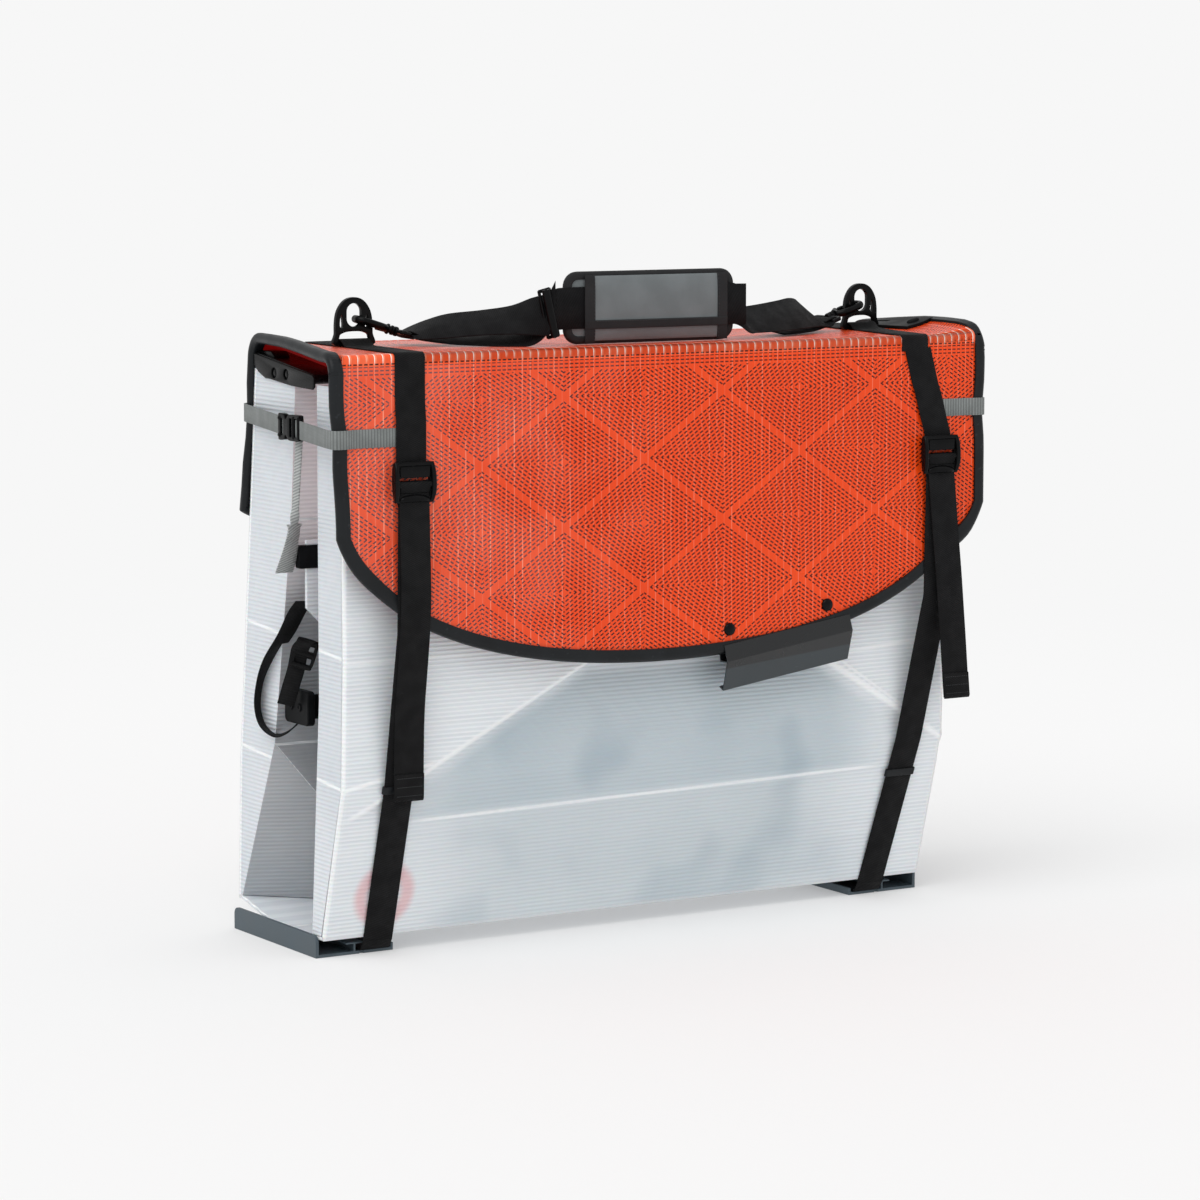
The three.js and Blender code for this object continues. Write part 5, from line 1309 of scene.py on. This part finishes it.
# Snap hooks: a round-section hook with its gate, a barrel and a webbing eye
hook = {
    "rise": 725, "yaw": 0.14, "pitch": 0.31, "nose": 1.6, "long": 42, "shank": 9, "eye": 15,
    "stock": 4.3, "heel": 4.6, "gate": 2.6, "flat": 0.85,  # radii, and how much they are squashed
    "eyeHalf": 23.5, "holeHalf": 20,
}


def hookTurn(side):
    yaw = -hook["yaw"] if side < 0 else math.pi + hook["yaw"]
    return Matrix.Rotation(yaw, 4, "Z") @ Matrix.Rotation(hook["pitch"], 4, "Y")


def makeHooks():
    start, end = hook["nose"], hook["nose"] + hook["long"]
    for sideName, side in ends.items():
        origin = (strapAt[sideName]["ring"], ring["depth"], hook["rise"])
        turn = hookTurn(side)
        k = 1 if side < 0 else -1  # the gate lies behind the ring
        word = sideName.capitalize()
        path = [(start + 9.0, k * 10.6), (start + 5.0, k * 9.4), (start + 2.5, k * 5.4),
                (start + 2.5, 0), (start + 3.0, -k * 5.5), (start + 6.5, -k * 9.6),
                (start + 13, -k * 10.8), (end - 16, -k * 10.6), (end - 8, -k * 8.4),
                (end - 3, -k * 4.0), (end - 1.5, 0)]
        points = [Vector((a, b, 0)) for a, b in path]
        route, _ = throughPoints(points, points, 5)
        parts = [rod(hook["stock"], route, zAxis, 14, hook["flat"])]
        heel = spots((end - 1.5, 0, 0), (end - 4.5, k * 5.5, 0), (end - 10.5, k * 10.2, 0))
        route, _ = throughPoints(heel, heel, 5)
        parts.append(rod(hook["heel"], route, zAxis, 14, hook["flat"]))
        barrel = turned([(0, -3), (4.0, -3), (5.6, 0), (6.2, 0.8), (6.2, 2.2), (4.2, 3.0),
                         (4.2, 5.0), (5.6, 5.8), (5.6, 8.2), (5.0, 8.8), (0, 8.8)], 20)
        parts.append(moved(barrel, (end - 1.2, 0, 0), turnBy(90, "Y")))
        moulded("snapHook" + word, settle(gather(*parts), origin, turn), f"snap_hook_{sideName}",
                "hook_" + sideName)
        gate = spots((start + 9.9, k * 10.5, 0), (end - 20, k * 10.7, 0), (end - 12.3, k * 10.5, 0))
        tab = plate(boxLoop(-3, -1.6, 5, 1.6, 1.2, 3), [], -2.2, 2.2, 0.5, 2)
        moved(tab, (start + 20, k * 12.2, 0))
        bm = gather(rod(hook["gate"], spaced(gate, 5), zAxis, 12, hook["flat"]), tab)
        moulded("snapGate" + word, settle(bm, origin, turn), f"snap_gate_{sideName}",
                "hook_gate_" + sideName)
        near = end + hook["shank"]
        outline = boxLoop(near, -hook["eyeHalf"], near + hook["eye"], hook["eyeHalf"], 4.5)
        hole = boxLoop(near + 4.4, -hook["holeHalf"], near + 11.2, hook["holeHalf"], 2.5)
        eye = plate(outline, [hole], -2.5, 2.5, 1.6, 3)
        collar = turned([(0, 0), (5.0, 0), (5.6, 0.7), (5.6, 3.4), (4.8, 4.4), (0, 4.4)], 18)
        moved(collar, (near - 0.4, 0, 0), turnBy(90, "Y"))
        moulded("hookSwivel" + word, settle(gather(eye, collar), origin, turn), "carry_strap",
                "hook_swivel_" + sideName)


makeHooks()
print("rings, buckles and hooks made")


# Shoulder strap, from one webbing eye to the other, and its doubled ends beneath. Each row has a
# place and how far the strap leans back from upright, in degrees
shoulder = {"wide": 48, "lane": -152.4, "rise": 734.6}
shoulderRows = {
    "left": [(-256, -66, 710, 66), (-236, -84, 714.5, 57), (-205, -108, 718.5, 56),
             (-176, -128, 722, 50),
             (-157, -143, 726, 32), (-140, -151.4, 728, 12), (-130, -152.4, 733, 0)],
    "right": [(294, -60, 710, 62), (277, -72, 715.5, 49), (254, -88, 717.5, 44),
              (226, -104, 716.5, 47),
              (190, -118, 714.5, 50), (160, -127, 713.5, 53), (140, -132, 713.5, 53),
              (128, -146, 720, 32)],
}
doubledRows = {
    "left": [(-250, -64, 701, 84), (-222, -84, 699.5, 78), (-190, -106, 700, 72),
             (-164, -126, 702, 64),
             (-147, -144, 714, 34), (-137, -153.4, 732, 8), (-131, -156.2, 744, 2)],
    "right": [(284, -60, 699, 86), (262, -74, 698, 84), (232, -92, 697.6, 82),
              (200, -104, 697.2, 82)],
}


def exitOf(side, reach):
    turn = hookTurn(side)
    at = Vector((strapAt["left" if side < 0 else "right"]["ring"], ring["depth"], hook["rise"]))
    across = (turn @ Vector((0, 1, 0, 0))).to_3d()
    return at + (turn @ Vector((reach, 0, 0, 0))).to_3d(), across if across.y > 0 else -across


def leaned(begin, across, rows, finish=()):
    points = [begin] + [Vector(row[:3]) for row in rows] + [Vector(row[:3]) for row in finish]
    leans = [None] + [row[3] for row in [*rows, *finish]]
    lies = []
    for i, lean in enumerate(leans):
        if lean is None:
            lies.append(across)
            continue
        step = points[min(i + 1, len(points) - 1)] - points[i - 1]
        back = Vector((-step.y, step.x, 0)).normalized()
        back = back if back.y > 0 else -back
        angle = math.radians(lean)
        lies.append((Vector((0, 0, math.cos(angle))) + back * math.sin(angle)).normalized())
    return points, lies


def makeShoulder():
    farEnd = hook["nose"] + hook["long"] + hook["shank"] + hook["eye"]
    points, lies = [], []
    for name, side in ends.items():
        begin, across = exitOf(side, farEnd - 2.2)
        middle = [(side * 116, shoulder["lane"], shoulder["rise"], 0),
                  (side * 60, shoulder["lane"], shoulder["rise"], 0)]
        run, lie = leaned(begin, across, shoulderRows[name], middle)
        points += run if side < 0 else run[::-1]
        lies += lie if side < 0 else lie[::-1]
    route, across = throughPoints(points, lies, 9)
    strap("shoulderStrap", route, "carry_strap", ["shoulder_strap"], "shoulder",
          wide=shoulder["wide"], across=across)
    for name, side in ends.items():
        word = name.capitalize()
        begin, across = exitOf(side, farEnd - 2.2)
        inward, _ = exitOf(side, farEnd + 40)
        ahead = (inward - begin).normalized()
        up = ahead.cross(across).normalized()
        up = up if up.z > 0 else -up
        # the webbing turns round the eye, and its other end lies under the first layer
        loop = [begin + ahead * 12 + up * 3.0, begin - ahead * 1.0 + up * 3.6,
                begin - ahead * 3.4 + up * 0.4, begin - ahead * 1.0 - up * 2.8,
                begin + ahead * 6 - up * 3.0]
        route, _ = throughPoints(loop, loop, 6)
        strap("strapLoop" + word, route, "carry_strap", (), "shoulder", wide=39, across=across)
        run, lie = leaned(begin - up * 2.6, across, doubledRows[name])
        route, lie = throughPoints(run, lie, 8)
        strap("strapDouble" + word, route, "carry_strap", (), "shoulder",
              wide=46 if side < 0 else 43, across=lie)
    end = spots((100, -154.2, 734.6), (130.5, -154.4, 734.2))
    strap("strapStop", spaced(end, 8), "pad", (), "shoulder", wide=47.5,
          across=zAxis)


# Pad: a stuffed back with a bound edge, and the wrap that holds the webbing
pad = {"half": 116, "high": 42, "back": -144.3, "front": -151.3, "round": 15}


def padShell():
    outline = boxLoop(-pad["half"] + 3, -pad["high"] + 3, pad["half"] - 3, pad["high"] - 3,
                      pad["round"], 6)
    bm = plate(outline, [], 1.2, 5.6, 1.2, 2)
    return settle(bm, (0, pad["back"], shoulder["rise"]), facing["front"])


stuffing = {
    "quality": 5, "mass": 0.3, "tension_stiffness": 12, "compression_stiffness": 12,
    "bending_stiffness": 0.4, "use_pressure": True, "uniform_pressure_force": 2.5,
}


def withModifiers(obj):
    graph = bpy.context.evaluated_depsgraph_get()
    return bpy.data.meshes.new_from_object(obj.evaluated_get(graph))


# Swells a shell as cloth under pressure; no point moves further than cap
def inflate(obj, cap, voxel, frames=20):
    remesh = obj.modifiers.new("even", "REMESH")
    remesh.mode, remesh.voxel_size = "VOXEL", voxel
    start = withModifiers(obj)
    obj.modifiers.remove(remesh)
    obj.data = start
    cloth = obj.modifiers.new("fill", "CLOTH")
    for key, value in stuffing.items():
        setattr(cloth.settings, key, value)
    cloth.settings.effector_weights.gravity = 0
    for number in range(1, frames + 1):
        scene.frame_set(number)
    swollen = withModifiers(obj)
    obj.modifiers.remove(cloth)
    for vert, rest in zip(swollen.vertices, start.vertices):
        move = vert.co - rest.co
        if move.length > cap:
            vert.co = rest.co + move.normalized() * cap
    obj.data = swollen
    scene.frame_set(1)
    return obj


def makePad():
    core = finished("padCushion", padShell(), "padGrey", None, angle=180)
    inflate(core, 0.0016, 0.0022)
    core.data.materials.clear()
    core.data.materials.append(looks["padGrey"])
    core.data.shade_smooth()
    fine = core.modifiers.new("fine", "SUBSURF")
    fine.levels = fine.render_levels = 1
    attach(core, "pad")
    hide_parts("shoulder_pad")
    # binding tape round the edge
    edge = boxLoop(-pad["half"] + 2.6, -pad["high"] + 2.6, pad["half"] - 2.6, pad["high"] - 2.6,
                   pad["round"] + 0.4, 8)
    middle = (pad["back"] + pad["front"]) / 2
    # one long run of straight and curved parts, closed by overlapping its start
    closed = [*edge, edge[0], edge[1]]
    route = spaced([Vector((u, middle, shoulder["rise"] + v)) for u, v in closed], 6)
    inward = []
    for i in range(len(route)):
        step = (route[min(i + 1, len(route) - 1)] - route[max(i - 1, 0)]).normalized()
        inward.append(step.cross(yAxis))
    lip = [(-2.1, -2.2), (-0.9, -3.9), (1.5, -4.4), (4.5, -4.5), (6.6, -4.2), (6.9, -3.6),
           (4.5, -3.2), (1.4, -2.6)]
    section = [(-2.4, 0), *lip, (0.4, 0), *mirrored(lip)[len(lip):]]
    finished("padBinding", settle(sweep(section, route, inward)), "padEdge", "pad",
             angle=60)
    makeWrap()


# The front wrap: its grey cloth is held by black tapes at both sides and near the foot
wrap = {"left": -91.0, "right": 104.0, "low": -31.0, "high": 33.5, "clear": 1.3,
        "tape": 13.5, "cloth": 1.2, "tapeThick": 1.3, "crown": 2.2}


def makeWrap():
    left, right, low, high = (wrap[key] for key in ("left", "right", "low", "high"))
    face = shoulder["lane"] - wrap["clear"]

    def lie(u, v, lift):
        crown = wrap["crown"] * (1 - ((2 * u - left - right) / (right - left)) ** 4)
        crown *= 1 - ((2 * v) / 68) ** 4
        ripple = 0.7 * noise.noise(Vector((u * 0.035, v * 0.02, 3.1)))
        ripple += 0.35 * noise.noise(Vector((u * 0.09, v * 0.05, 8)))
        return Vector((u, face - lift - crown - ripple, shoulder["rise"] + v))

    def panel(name, u0, u1, v0, v1, lift, thick, look, cuts):
        bm = bmesh.new()
        bmesh.ops.create_grid(bm, x_segments=cuts[0], y_segments=cuts[1], size=0.5)
        for vert in bm.verts:
            vert.co = lie(u0 + (u1 - u0) * (vert.co.x + 0.5), v0 + (v1 - v0) * (vert.co.y + 0.5),
                          lift)
        bmesh.ops.recalc_face_normals(bm, faces=bm.faces)
        obj = finished(name, settle(bm), look, "pad", angle=60)
        solid = obj.modifiers.new("cloth", "SOLIDIFY")
        solid.thickness, solid.offset = thick / 1000, 0
        bevel = obj.modifiers.new("softEdge", "BEVEL")
        bevel.width, bevel.segments = thick * 0.3 / 1000, 2
        return obj

    tape, thick = wrap["tape"], wrap["tapeThick"]
    panel("wrapCloth", left + 2, right - 2, low - 7, high + 3, 0.0, wrap["cloth"], "padGrey",
          (60, 20))
    for name, start in (("wrapTapeLeft", left), ("wrapTapeRight", right - tape)):
        panel(name, start, start + tape, low - 9.5, high + 4, 1.2, thick, "padEdge", (8, 24))
    panel("wrapTapeFoot", left, right, low + 6.5, low + 16.5, 1.7, thick, "padEdge", (60, 6))
    for number, u in enumerate((left + 12.4, right - 12.4)):
        rows = [lie(u, low - 8 + (high - low + 11) * (i + 0.5) / 18, 2.0) for i in range(18)]
        threadRow(f"wrapStitch{number}", rows, zAxis, "pad")
    foot = [lie(left + 14 + (right - left - 28) * (i + 0.5) / 46, low + 15.4, 2.5)
            for i in range(46)]
    threadRow("wrapStitchFoot", foot, xAxis, "pad")


# Slider: a round bar over the webbing, with its frame behind
slider = {"lean": -13, "x": -137, "depth": -155.2, "drop": 5, "half": 28, "bar": 3.5, "broad": 1.55}


def makeSlider():
    half = slider["half"]
    centre = (slider["x"], slider["depth"], shoulder["rise"] - slider["drop"])
    bar = [Vector((0, 0, z)) for z in (-half, -26.5, -14, 0, 14, 26.5, half)]
    oval = [(u * slider["broad"], v) for u, v in roundSection(slider["bar"], 16)]
    parts = [sweep(oval, bar, xAxis)]
    for k in (-1, 1):
        for a, b in (((0, k * 27, 0), (0, k * 27, 4.6)), ((-7, k * 27, 4.6), (7, k * 27, 4.6))):
            run = spots((a[0], a[2], a[1]), (b[0], b[2], b[1]))
            parts.append(rod(2.2, run, zAxis, 10))
        run = spots((k * 7, 4.6, -half), (k * 7, 4.6, half))
        parts.append(rod(1.9, run, count=10))
    moulded("strapSlider", settle(gather(*parts), centre, turnBy(slider["lean"], "Y")), "slider",
            "strap_slider")


makeShoulder()
makePad()
makeSlider()
print("shoulder strap and pad made")


# Grey side belts, their small buckles and hanging tails
belt = {
    "wide": 21, "thick": 1.4, "height": 606, "slope": {"left": 0.052, "right": 0.012},
    "out": 433, "depth": -75, "half": 17.3, "face": -199.3, "rear": 67.3,
}
beltTail = {
    "top": 592.2, "drop": 154, "drift": 44, "steps": 40,
    "narrow": 10.5, "thick": 2.6, "open": 0.66, "tab": 24,
}


def makeBelts():
    face, rear, tail = belt["face"], belt["rear"], beltTail
    for sideName, side in ends.items():
        at = strapAt[sideName]
        word = sideName.capitalize()
        z, out = belt["height"], belt["out"]
        frontEnd = at["crease"] + (at["buckle"] - at["crease"]) * 0.702 + side * 12
        rearEnd = at["rail"] + (at["back"] - at["rail"]) * z / cover["top"] + side * 14
        wide, narrow = sprung[sideName]["front"] - 2.8, sprung[sideName]["back"] - 2.8
        front = spots((frontEnd, -197.1, z), (side * (406 + wide), -197.1, z),
                      (side * (417 + wide), face - 2.2, z), (side * (out + wide), face - 2.2, z),
                      (side * (out + wide), -180, z),
                      (side * out, belt["depth"] - belt["half"] + 4, z))
        back = spots((side * out, belt["depth"] + belt["half"] - 4, z),
                     (side * (out + narrow), rear + 2, z), (side * (418 + narrow), rear + 2, z),
                     (rearEnd, rear - 1, z))
        for point in (*front, *back):
            point.z += belt["slope"][sideName] * (point.y - belt["depth"])
        for name, run, body, node in (("beltFront", front, "front_flap", "belt_front_"),
                                      ("beltRear", back, "case", "belt_rear_")):
            strap(name + word, spaced(rounded(run, 9), 9), body, [node + sideName], "belt",
                  belt["wide"], belt["thick"], zAxis)
        # small ladder buckle with two rivets
        outline = smoothLoop(mirrored([(-31, -11), (-28, -14.6), (-16, -14.8), (-5, -14.2),
                                       (0, -10), (3, -9.4), (6, -14), (17, -15.2), (20, -11)]), 4)
        holes = [boxLoop(-26.4, -10.6, -18.6, 10.6, 1), boxLoop(-14.2, -10.6, -7.4, 10.6, 1),
                 boxLoop(8.6, -9.4, 14.6, 9.4, 1)]
        parts = [cast(outline, holes, -3.2, 3.2, 1.4, 3, (side * out, belt["depth"], z))]
        for shift in (16.4, 29.0):
            bar = [Vector((side * (out + 2.2), belt["depth"] - shift, z + k * 12.5))
                   for k in (-1, 1)]
            parts.append(settle(rod(2.3, bar)))
        for k in (-1, 1):
            rivet = turned([(0, 1.7), (1.4, 1.5), (2.3, 0.9), (2.7, 0), (2.7, -0.5), (0, -0.5)], 16)
            place = (side * (out + 3.2), belt["depth"] + 17.2, z + k * 9.6)
            parts.append(settle(rivet, place, turnBy(side * 90, "Y")))
        moulded("beltBuckle" + word, parts, f"side_buckle_{sideName}", "belt_buckle_" + sideName,
                45)
        # the tail hangs down folded along its length, then opens into a sewn tab
        route, across = [], []
        for i in range(tail["steps"] + 1):
            share = i / tail["steps"]
            opened = smooth(share, 0.5, tail["open"])
            angle = 1.25 * (1 - opened) - 0.55 * (1 - smooth(share, tail["open"], 1.0)) * opened
            angle -= 0.1 * smooth(share, 0.7, 1.0)
            sag = 2.4 * math.sin(share * math.pi * 1.6)
            depth = belt["depth"] - 15 + tail["drift"] * share ** 2.4 + sag
            height = tail["top"] - tail["drop"] * share
            route.append(Vector((side * (427.5 + 0.3 * sag), depth, height)))
            across.append(Vector((math.cos(angle), side * math.sin(angle), 0)))
        body = f"side_tail_{sideName}"
        count = round(tail["steps"] * tail["open"])
        head = [route[0] + Vector((0, 0, 6)), *route[:count + 2]]
        strap("beltTail" + word, head, body, ["belt_tail_" + sideName], "tail",
              tail["narrow"], tail["thick"], [across[0], *across[:count + 2]])
        strap("beltTab" + word, route[count - 1:], body, (), "tail", tail["tab"],
              belt["thick"], across[count - 1:])
        normal = (route[-1] - route[-5]).normalized().cross(across[-1]).normalized()
        normal = normal if normal.y < 0 else -normal
        hem = [point + normal * 1.35 for point in route[count - 1:count + 4]]
        strap("beltHem" + word, hem, body, (), "tail", tail["tab"] + 0.6,
              belt["thick"], across[count - 1:count + 4])


makeBelts()
print("belts made")


# End brackets, the plate on the lid and the stowed seat parts. A bracket's body reaches from inner
# to outer, and its side face has two round pockets with a button in each
bracket = {"inner": 376.0, "outer": 415.0, "button": 662.8, "pockets": (-7.8, -37.4),
           "pocket": 6.2, "ribs": 4}


def makeBrackets():
    b = bracket
    inner, outer = b["inner"], b["outer"]
    for sideName, side in ends.items():
        # body and side face, drawn as (depth, height)
        profile = [(41, 684.5), (44, 682), (44, 669), (36, 661.6), (18, 655.0), (-99, 655.0),
                   (-103.6, 658), (-103.6, 664.6), (-101, 666.2)]
        face = [(41, 682.5), (44, 680), (44, 671), (36, 664.6), (16, 656.4), (-50, 650.4),
                (-102, 648.8), (-106.6, 652), (-106.6, 662.6), (-103, 664.6)]
        pockets = [arcPoints((depth, b["button"]), b["pocket"], range(0, 360, 20))
                   for depth in b["pockets"]]
        parts = [cast(profile, [], inner, outer, 1.0, 2),
                 cast(face, pockets, outer - 0.4, outer + 2.0, 0.9, 3)]
        for depth in b["pockets"]:
            button = turned([(0, 1.3), (2.2, 1.2), (3.6, 0.7), (4.3, 0), (4.3, -0.4), (0, -0.4)],
                            20)
            parts.append(settle(button, (outer + 0.1, depth, b["button"]), turnBy(90, "Y")))
        # a raised lip along the upper edge, down to the front corner
        lip = spots((outer + 0.6, 42.0, 681.6), (outer + 0.6, -102.5, 664.0),
                    (outer + 0.6, -105.6, 660))
        parts.append(settle(rod(1.5, rounded(lip, 3), count=10)))
        # ribs and a screw hole on the front block
        for i in range(b["ribs"]):
            rib = boxLoop(384 + i * 3.6, 656.4, 386 + i * 3.6, 664.2, 0.7, 2)
            parts.append(cast(rib, [], 102.6, 104.6, 0.5, 2, face="front"))
        rim = turned([(1.2, 0), (1.2, 0.9), (2.6, 0.9), (3.0, 0.5), (3.0, -0.4), (1.2, -0.4),
                      (1.2, 0)], 18)
        parts.append(settle(rim, (405.5, -103.8, 660.0), turnBy(90, "X")))
        # the upper arm that carries the cover at the rear
        arm = [(43, 686.2), (43, 680), (4, 674), (4, 681), (12, 686.2)]
        parts.append(cast(arm, [], 390, 410.5, 0.7, 2))
        bm = gather(*parts)
        if side < 0:
            bmesh.ops.scale(bm, vec=(-1, 1, 1), verts=bm.verts)
            bmesh.ops.reverse_faces(bm, faces=bm.faces)
        moulded("endBracket" + sideName.capitalize(), bm, "case", "end_bracket_" + sideName, 45)


def makeTopPlate():
    low, high = (corner * 1000 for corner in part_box("top_plate"))
    left, right = low.x - 4, high.x + 4
    near, far = low.y - railShift, high.y - railShift
    centre = (left + right) / 2
    outline = smoothLoop([(left, near + 9), (left + 3, near + 2), (centre, near),
                          (right - 3, near + 2), (right, near + 9), (right, far - 10),
                          (right - 4, far - 2), (centre, far), (left + 4, far - 2),
                          (left, far - 10)], 5)
    slot = boxLoop(centre - 2, far - 39, centre + 2, far - 13, 1.8, 4)
    base = plate(outline, [slot], 692.3, 696.2, 1.2, 3)
    button = turned([(0, 3.4), (3.4, 3.3), (5.2, 2.6), (6.0, 1.2), (6.0, 0), (7.6, 0), (8.4, -0.6),
                     (0, -0.6)], 28)
    parts = [settle(base), settle(button, (centre, near + 18, 696.2))]
    bm = spring(cutUp(gather(*parts), [384, 392, 400, 408, 416, 424], "x"))
    moulded("topPlate", bm, "case", "top_plate", 45, "plate")


# The seat back's cap stands a little further out at its left end than its solid, and lower
capShift = {"by": 0.008, "leftOf": -0.39, "above": 0.44}


def makeSeatParts():
    refine("seatPan", "seat_pan", "foam", 2.5, 3)
    cap = nodeCopy("seat_back_cap")
    for vert in cap.verts:
        vert.co.x -= capShift["by"] * (vert.co.x < capShift["leftOf"])
        vert.co.z -= capShift["by"] * (vert.co.z > capShift["above"])
    soften(cap, 0.0030, 4)
    finished("seatBackCap", cap, "plate", "case", ["seat_back_cap"],
             weighted=True, recalc=False)
    refine("footrestPlate", "footrest", "plate", 1.6, 3)
    low, high = (corner * 1000 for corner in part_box("footrest"))
    parts = []
    for depth, height in ((0.35, 0.5), (0.7, 0.5)):
        y = low.y + (high.y - low.y) * depth - railShift
        z = low.z + (high.z - low.z) * height
        boss = turned([(0, 0.9), (1.6, 0.9), (1.9, 1.8), (4.2, 1.8), (4.8, 1.2), (4.8, -0.4),
                       (0, -0.4)], 22)
        parts.append(settle(boss, (low.x + 0.2, y, z), turnBy(-90, "Y")))
    finished("footrestBosses", gather(*parts), "plate", "case")
    # each row: a point of the loop, and how the strap is turned there, from face-on to edge-on
    loop = [(400, -48, 404, -0.35), (408, -44, 392, -0.2), (415, -28, 364, 0.0),
            (419, 4, 333, 0.3), (421, 25, 305, 0.68), (422, 32, 276, 0.8), (421, 22, 254, 0.85),
            (418, -4, 244.5, 0.95), (412, -24, 250, 0.95), (402, -34, 262, 0.9)]
    points = [Vector((-row[0], row[1], row[2])) for row in loop]
    route, across = throughPoints(points, [Vector((math.cos(row[3]), math.sin(row[3]), 0))
                                           for row in loop], 7)
    strap("seatStrap", route, "case", ["seat_strap"], wide=22, thick=1.6, across=across)
    # the strap end goes over the buckle's middle bar and hangs forward, to the left
    tail = spots((-408.5, -69.5, 361), (-413.5, -68, 357), (-416.5, -65.5, 350),
                 (-417.5, -58, 328), (-420, -49, 306), (-422.5, -41, 285))
    route, _ = throughPoints(tail, tail, 6)
    strap("seatStrapEnd", route, "case", ["seat_strap_end"], wide=20, thick=1.6,
          across=Vector((math.cos(-0.55), math.sin(-0.55), -0.2)))
    outline = smoothLoop([(-9, -17.5), (9, -17.5), (12.6, -14), (13.6, 0), (12.8, 14), (9, 17.2),
                          (-9, 17.2), (-12.8, 14), (-13.6, 0), (-12.6, -14)], 4)
    holes = [boxLoop(-9.4, -11.5, 9.4, -4.5, 1), boxLoop(-9.4, 3.5, 9.4, 9.5, 1)]
    parts = [plate(outline, holes, -2.4, 2.4, 1.1, 3)]
    for height, radius in ((-14.2, 2.7), (-0.5, 2.9), (13.2, 2.6)):
        bar = spots((-11, height, 1.2), (11, height, 1.2))
        parts.append(rod(radius, bar, yAxis, 14))
    turn = Matrix.Rotation(-0.5, 4, "Z") @ facing["front"] @ Matrix.Rotation(-0.3, 4, "Z")
    moulded("seatBuckle", settle(gather(*parts), (-410.5, -66.0, 346), turn), "case",
            "seat_buckle", 45)


makeBrackets()
makeTopPlate()
makeSeatParts()
print("small parts made")


# Floor, light and camera. The floor takes the backdrop's colour with distance: near is the
# backdrop's share beside the object
studio = {
    "floor": 30, "backdrop": "#f7f7f7", "fade": (1.6, 3.4), "near": 0.28,
    "around": 0.74, "lamp": 1.3, "lampSpread": 50, "lampAim": (0.75, 0.5, -1.25),
}


def makeFloor():
    bm = bmesh.new()
    bmesh.ops.create_grid(bm, x_segments=1, y_segments=1, size=studio["floor"])
    mesh = bpy.data.meshes.new("floor")
    bm.to_mesh(mesh)
    bm.free()
    floor = bpy.data.objects.new("floor", mesh)
    scene.collection.objects.link(floor)
    look = Look("paleFloor")
    point, x, y, z = look.axes()
    look.plug(Base_Color=colour("#f2f2f2"), Roughness=0.9, Specular_IOR_Level=0.05)
    # far away the floor takes the backdrop's own colour, so no horizon shows
    backdrop = look.node("Emission", None, Color=colour(studio["backdrop"]))
    distance = look.node("VectorMath", {"operation": "LENGTH"}, point, out="Value")
    far = distance.ramp(*studio["fade"]) * (1 - studio["near"]) + studio["near"]
    look.output(look.node("MixShader", None, far, Wire(look, look.surface.outputs[0]), backdrop))
    mesh.materials.append(look.material)


# White light from all round, and a soft lamp from the upper left
def makeLight():
    scene.world = bpy.data.worlds.new("studio")
    sky = Look("studio", scene.world)
    around = sky.node("Background", None, Color=(1, 1, 1, 1), Strength=studio["around"])
    seen = sky.node("Background", None, Color=colour(studio["backdrop"]), Strength=1.0)
    camera = sky.node("LightPath", out="Is Camera Ray")
    direct = camera.max(sky.node("LightPath", out="Is Transmission Ray"))
    sky.output(sky.node("MixShader", None, direct, around, seen), "World")
    sun = bpy.data.lights.new("softKey", "SUN")
    sun.energy, sun.angle = studio["lamp"], math.radians(studio["lampSpread"])
    lamp = bpy.data.objects.new("softKey", sun)
    scene.collection.objects.link(lamp)
    lamp.rotation_euler = Vector(studio["lampAim"]).to_track_quat("-Z", "Y").to_euler()


view = {"place": (-2.57974, -4.21536, 0.96858), "azimuth": -31.387, "pitch": 6.785, "lens": 125.31,
        "sensor": 36, "clip": (0.05, 100)}


def makeCamera():
    a, e = math.radians(view["azimuth"]), math.radians(view["pitch"])
    back = Vector((math.sin(a) * math.cos(e), -math.cos(a) * math.cos(e), math.sin(e)))
    data = bpy.data.cameras.new("camera")
    data.lens, data.sensor_width = view["lens"], view["sensor"]
    data.clip_start, data.clip_end = view["clip"]
    camera = bpy.data.objects.new("camera", data)
    scene.collection.objects.link(camera)
    camera.location = view["place"]
    camera.rotation_mode = "QUATERNION"
    camera.rotation_quaternion = (-back).to_track_quat("-Z", "Y")
    scene.camera = camera


makeFloor()
makeLight()
makeCamera()
scene.view_settings.view_transform = "Standard"
print("stage set")
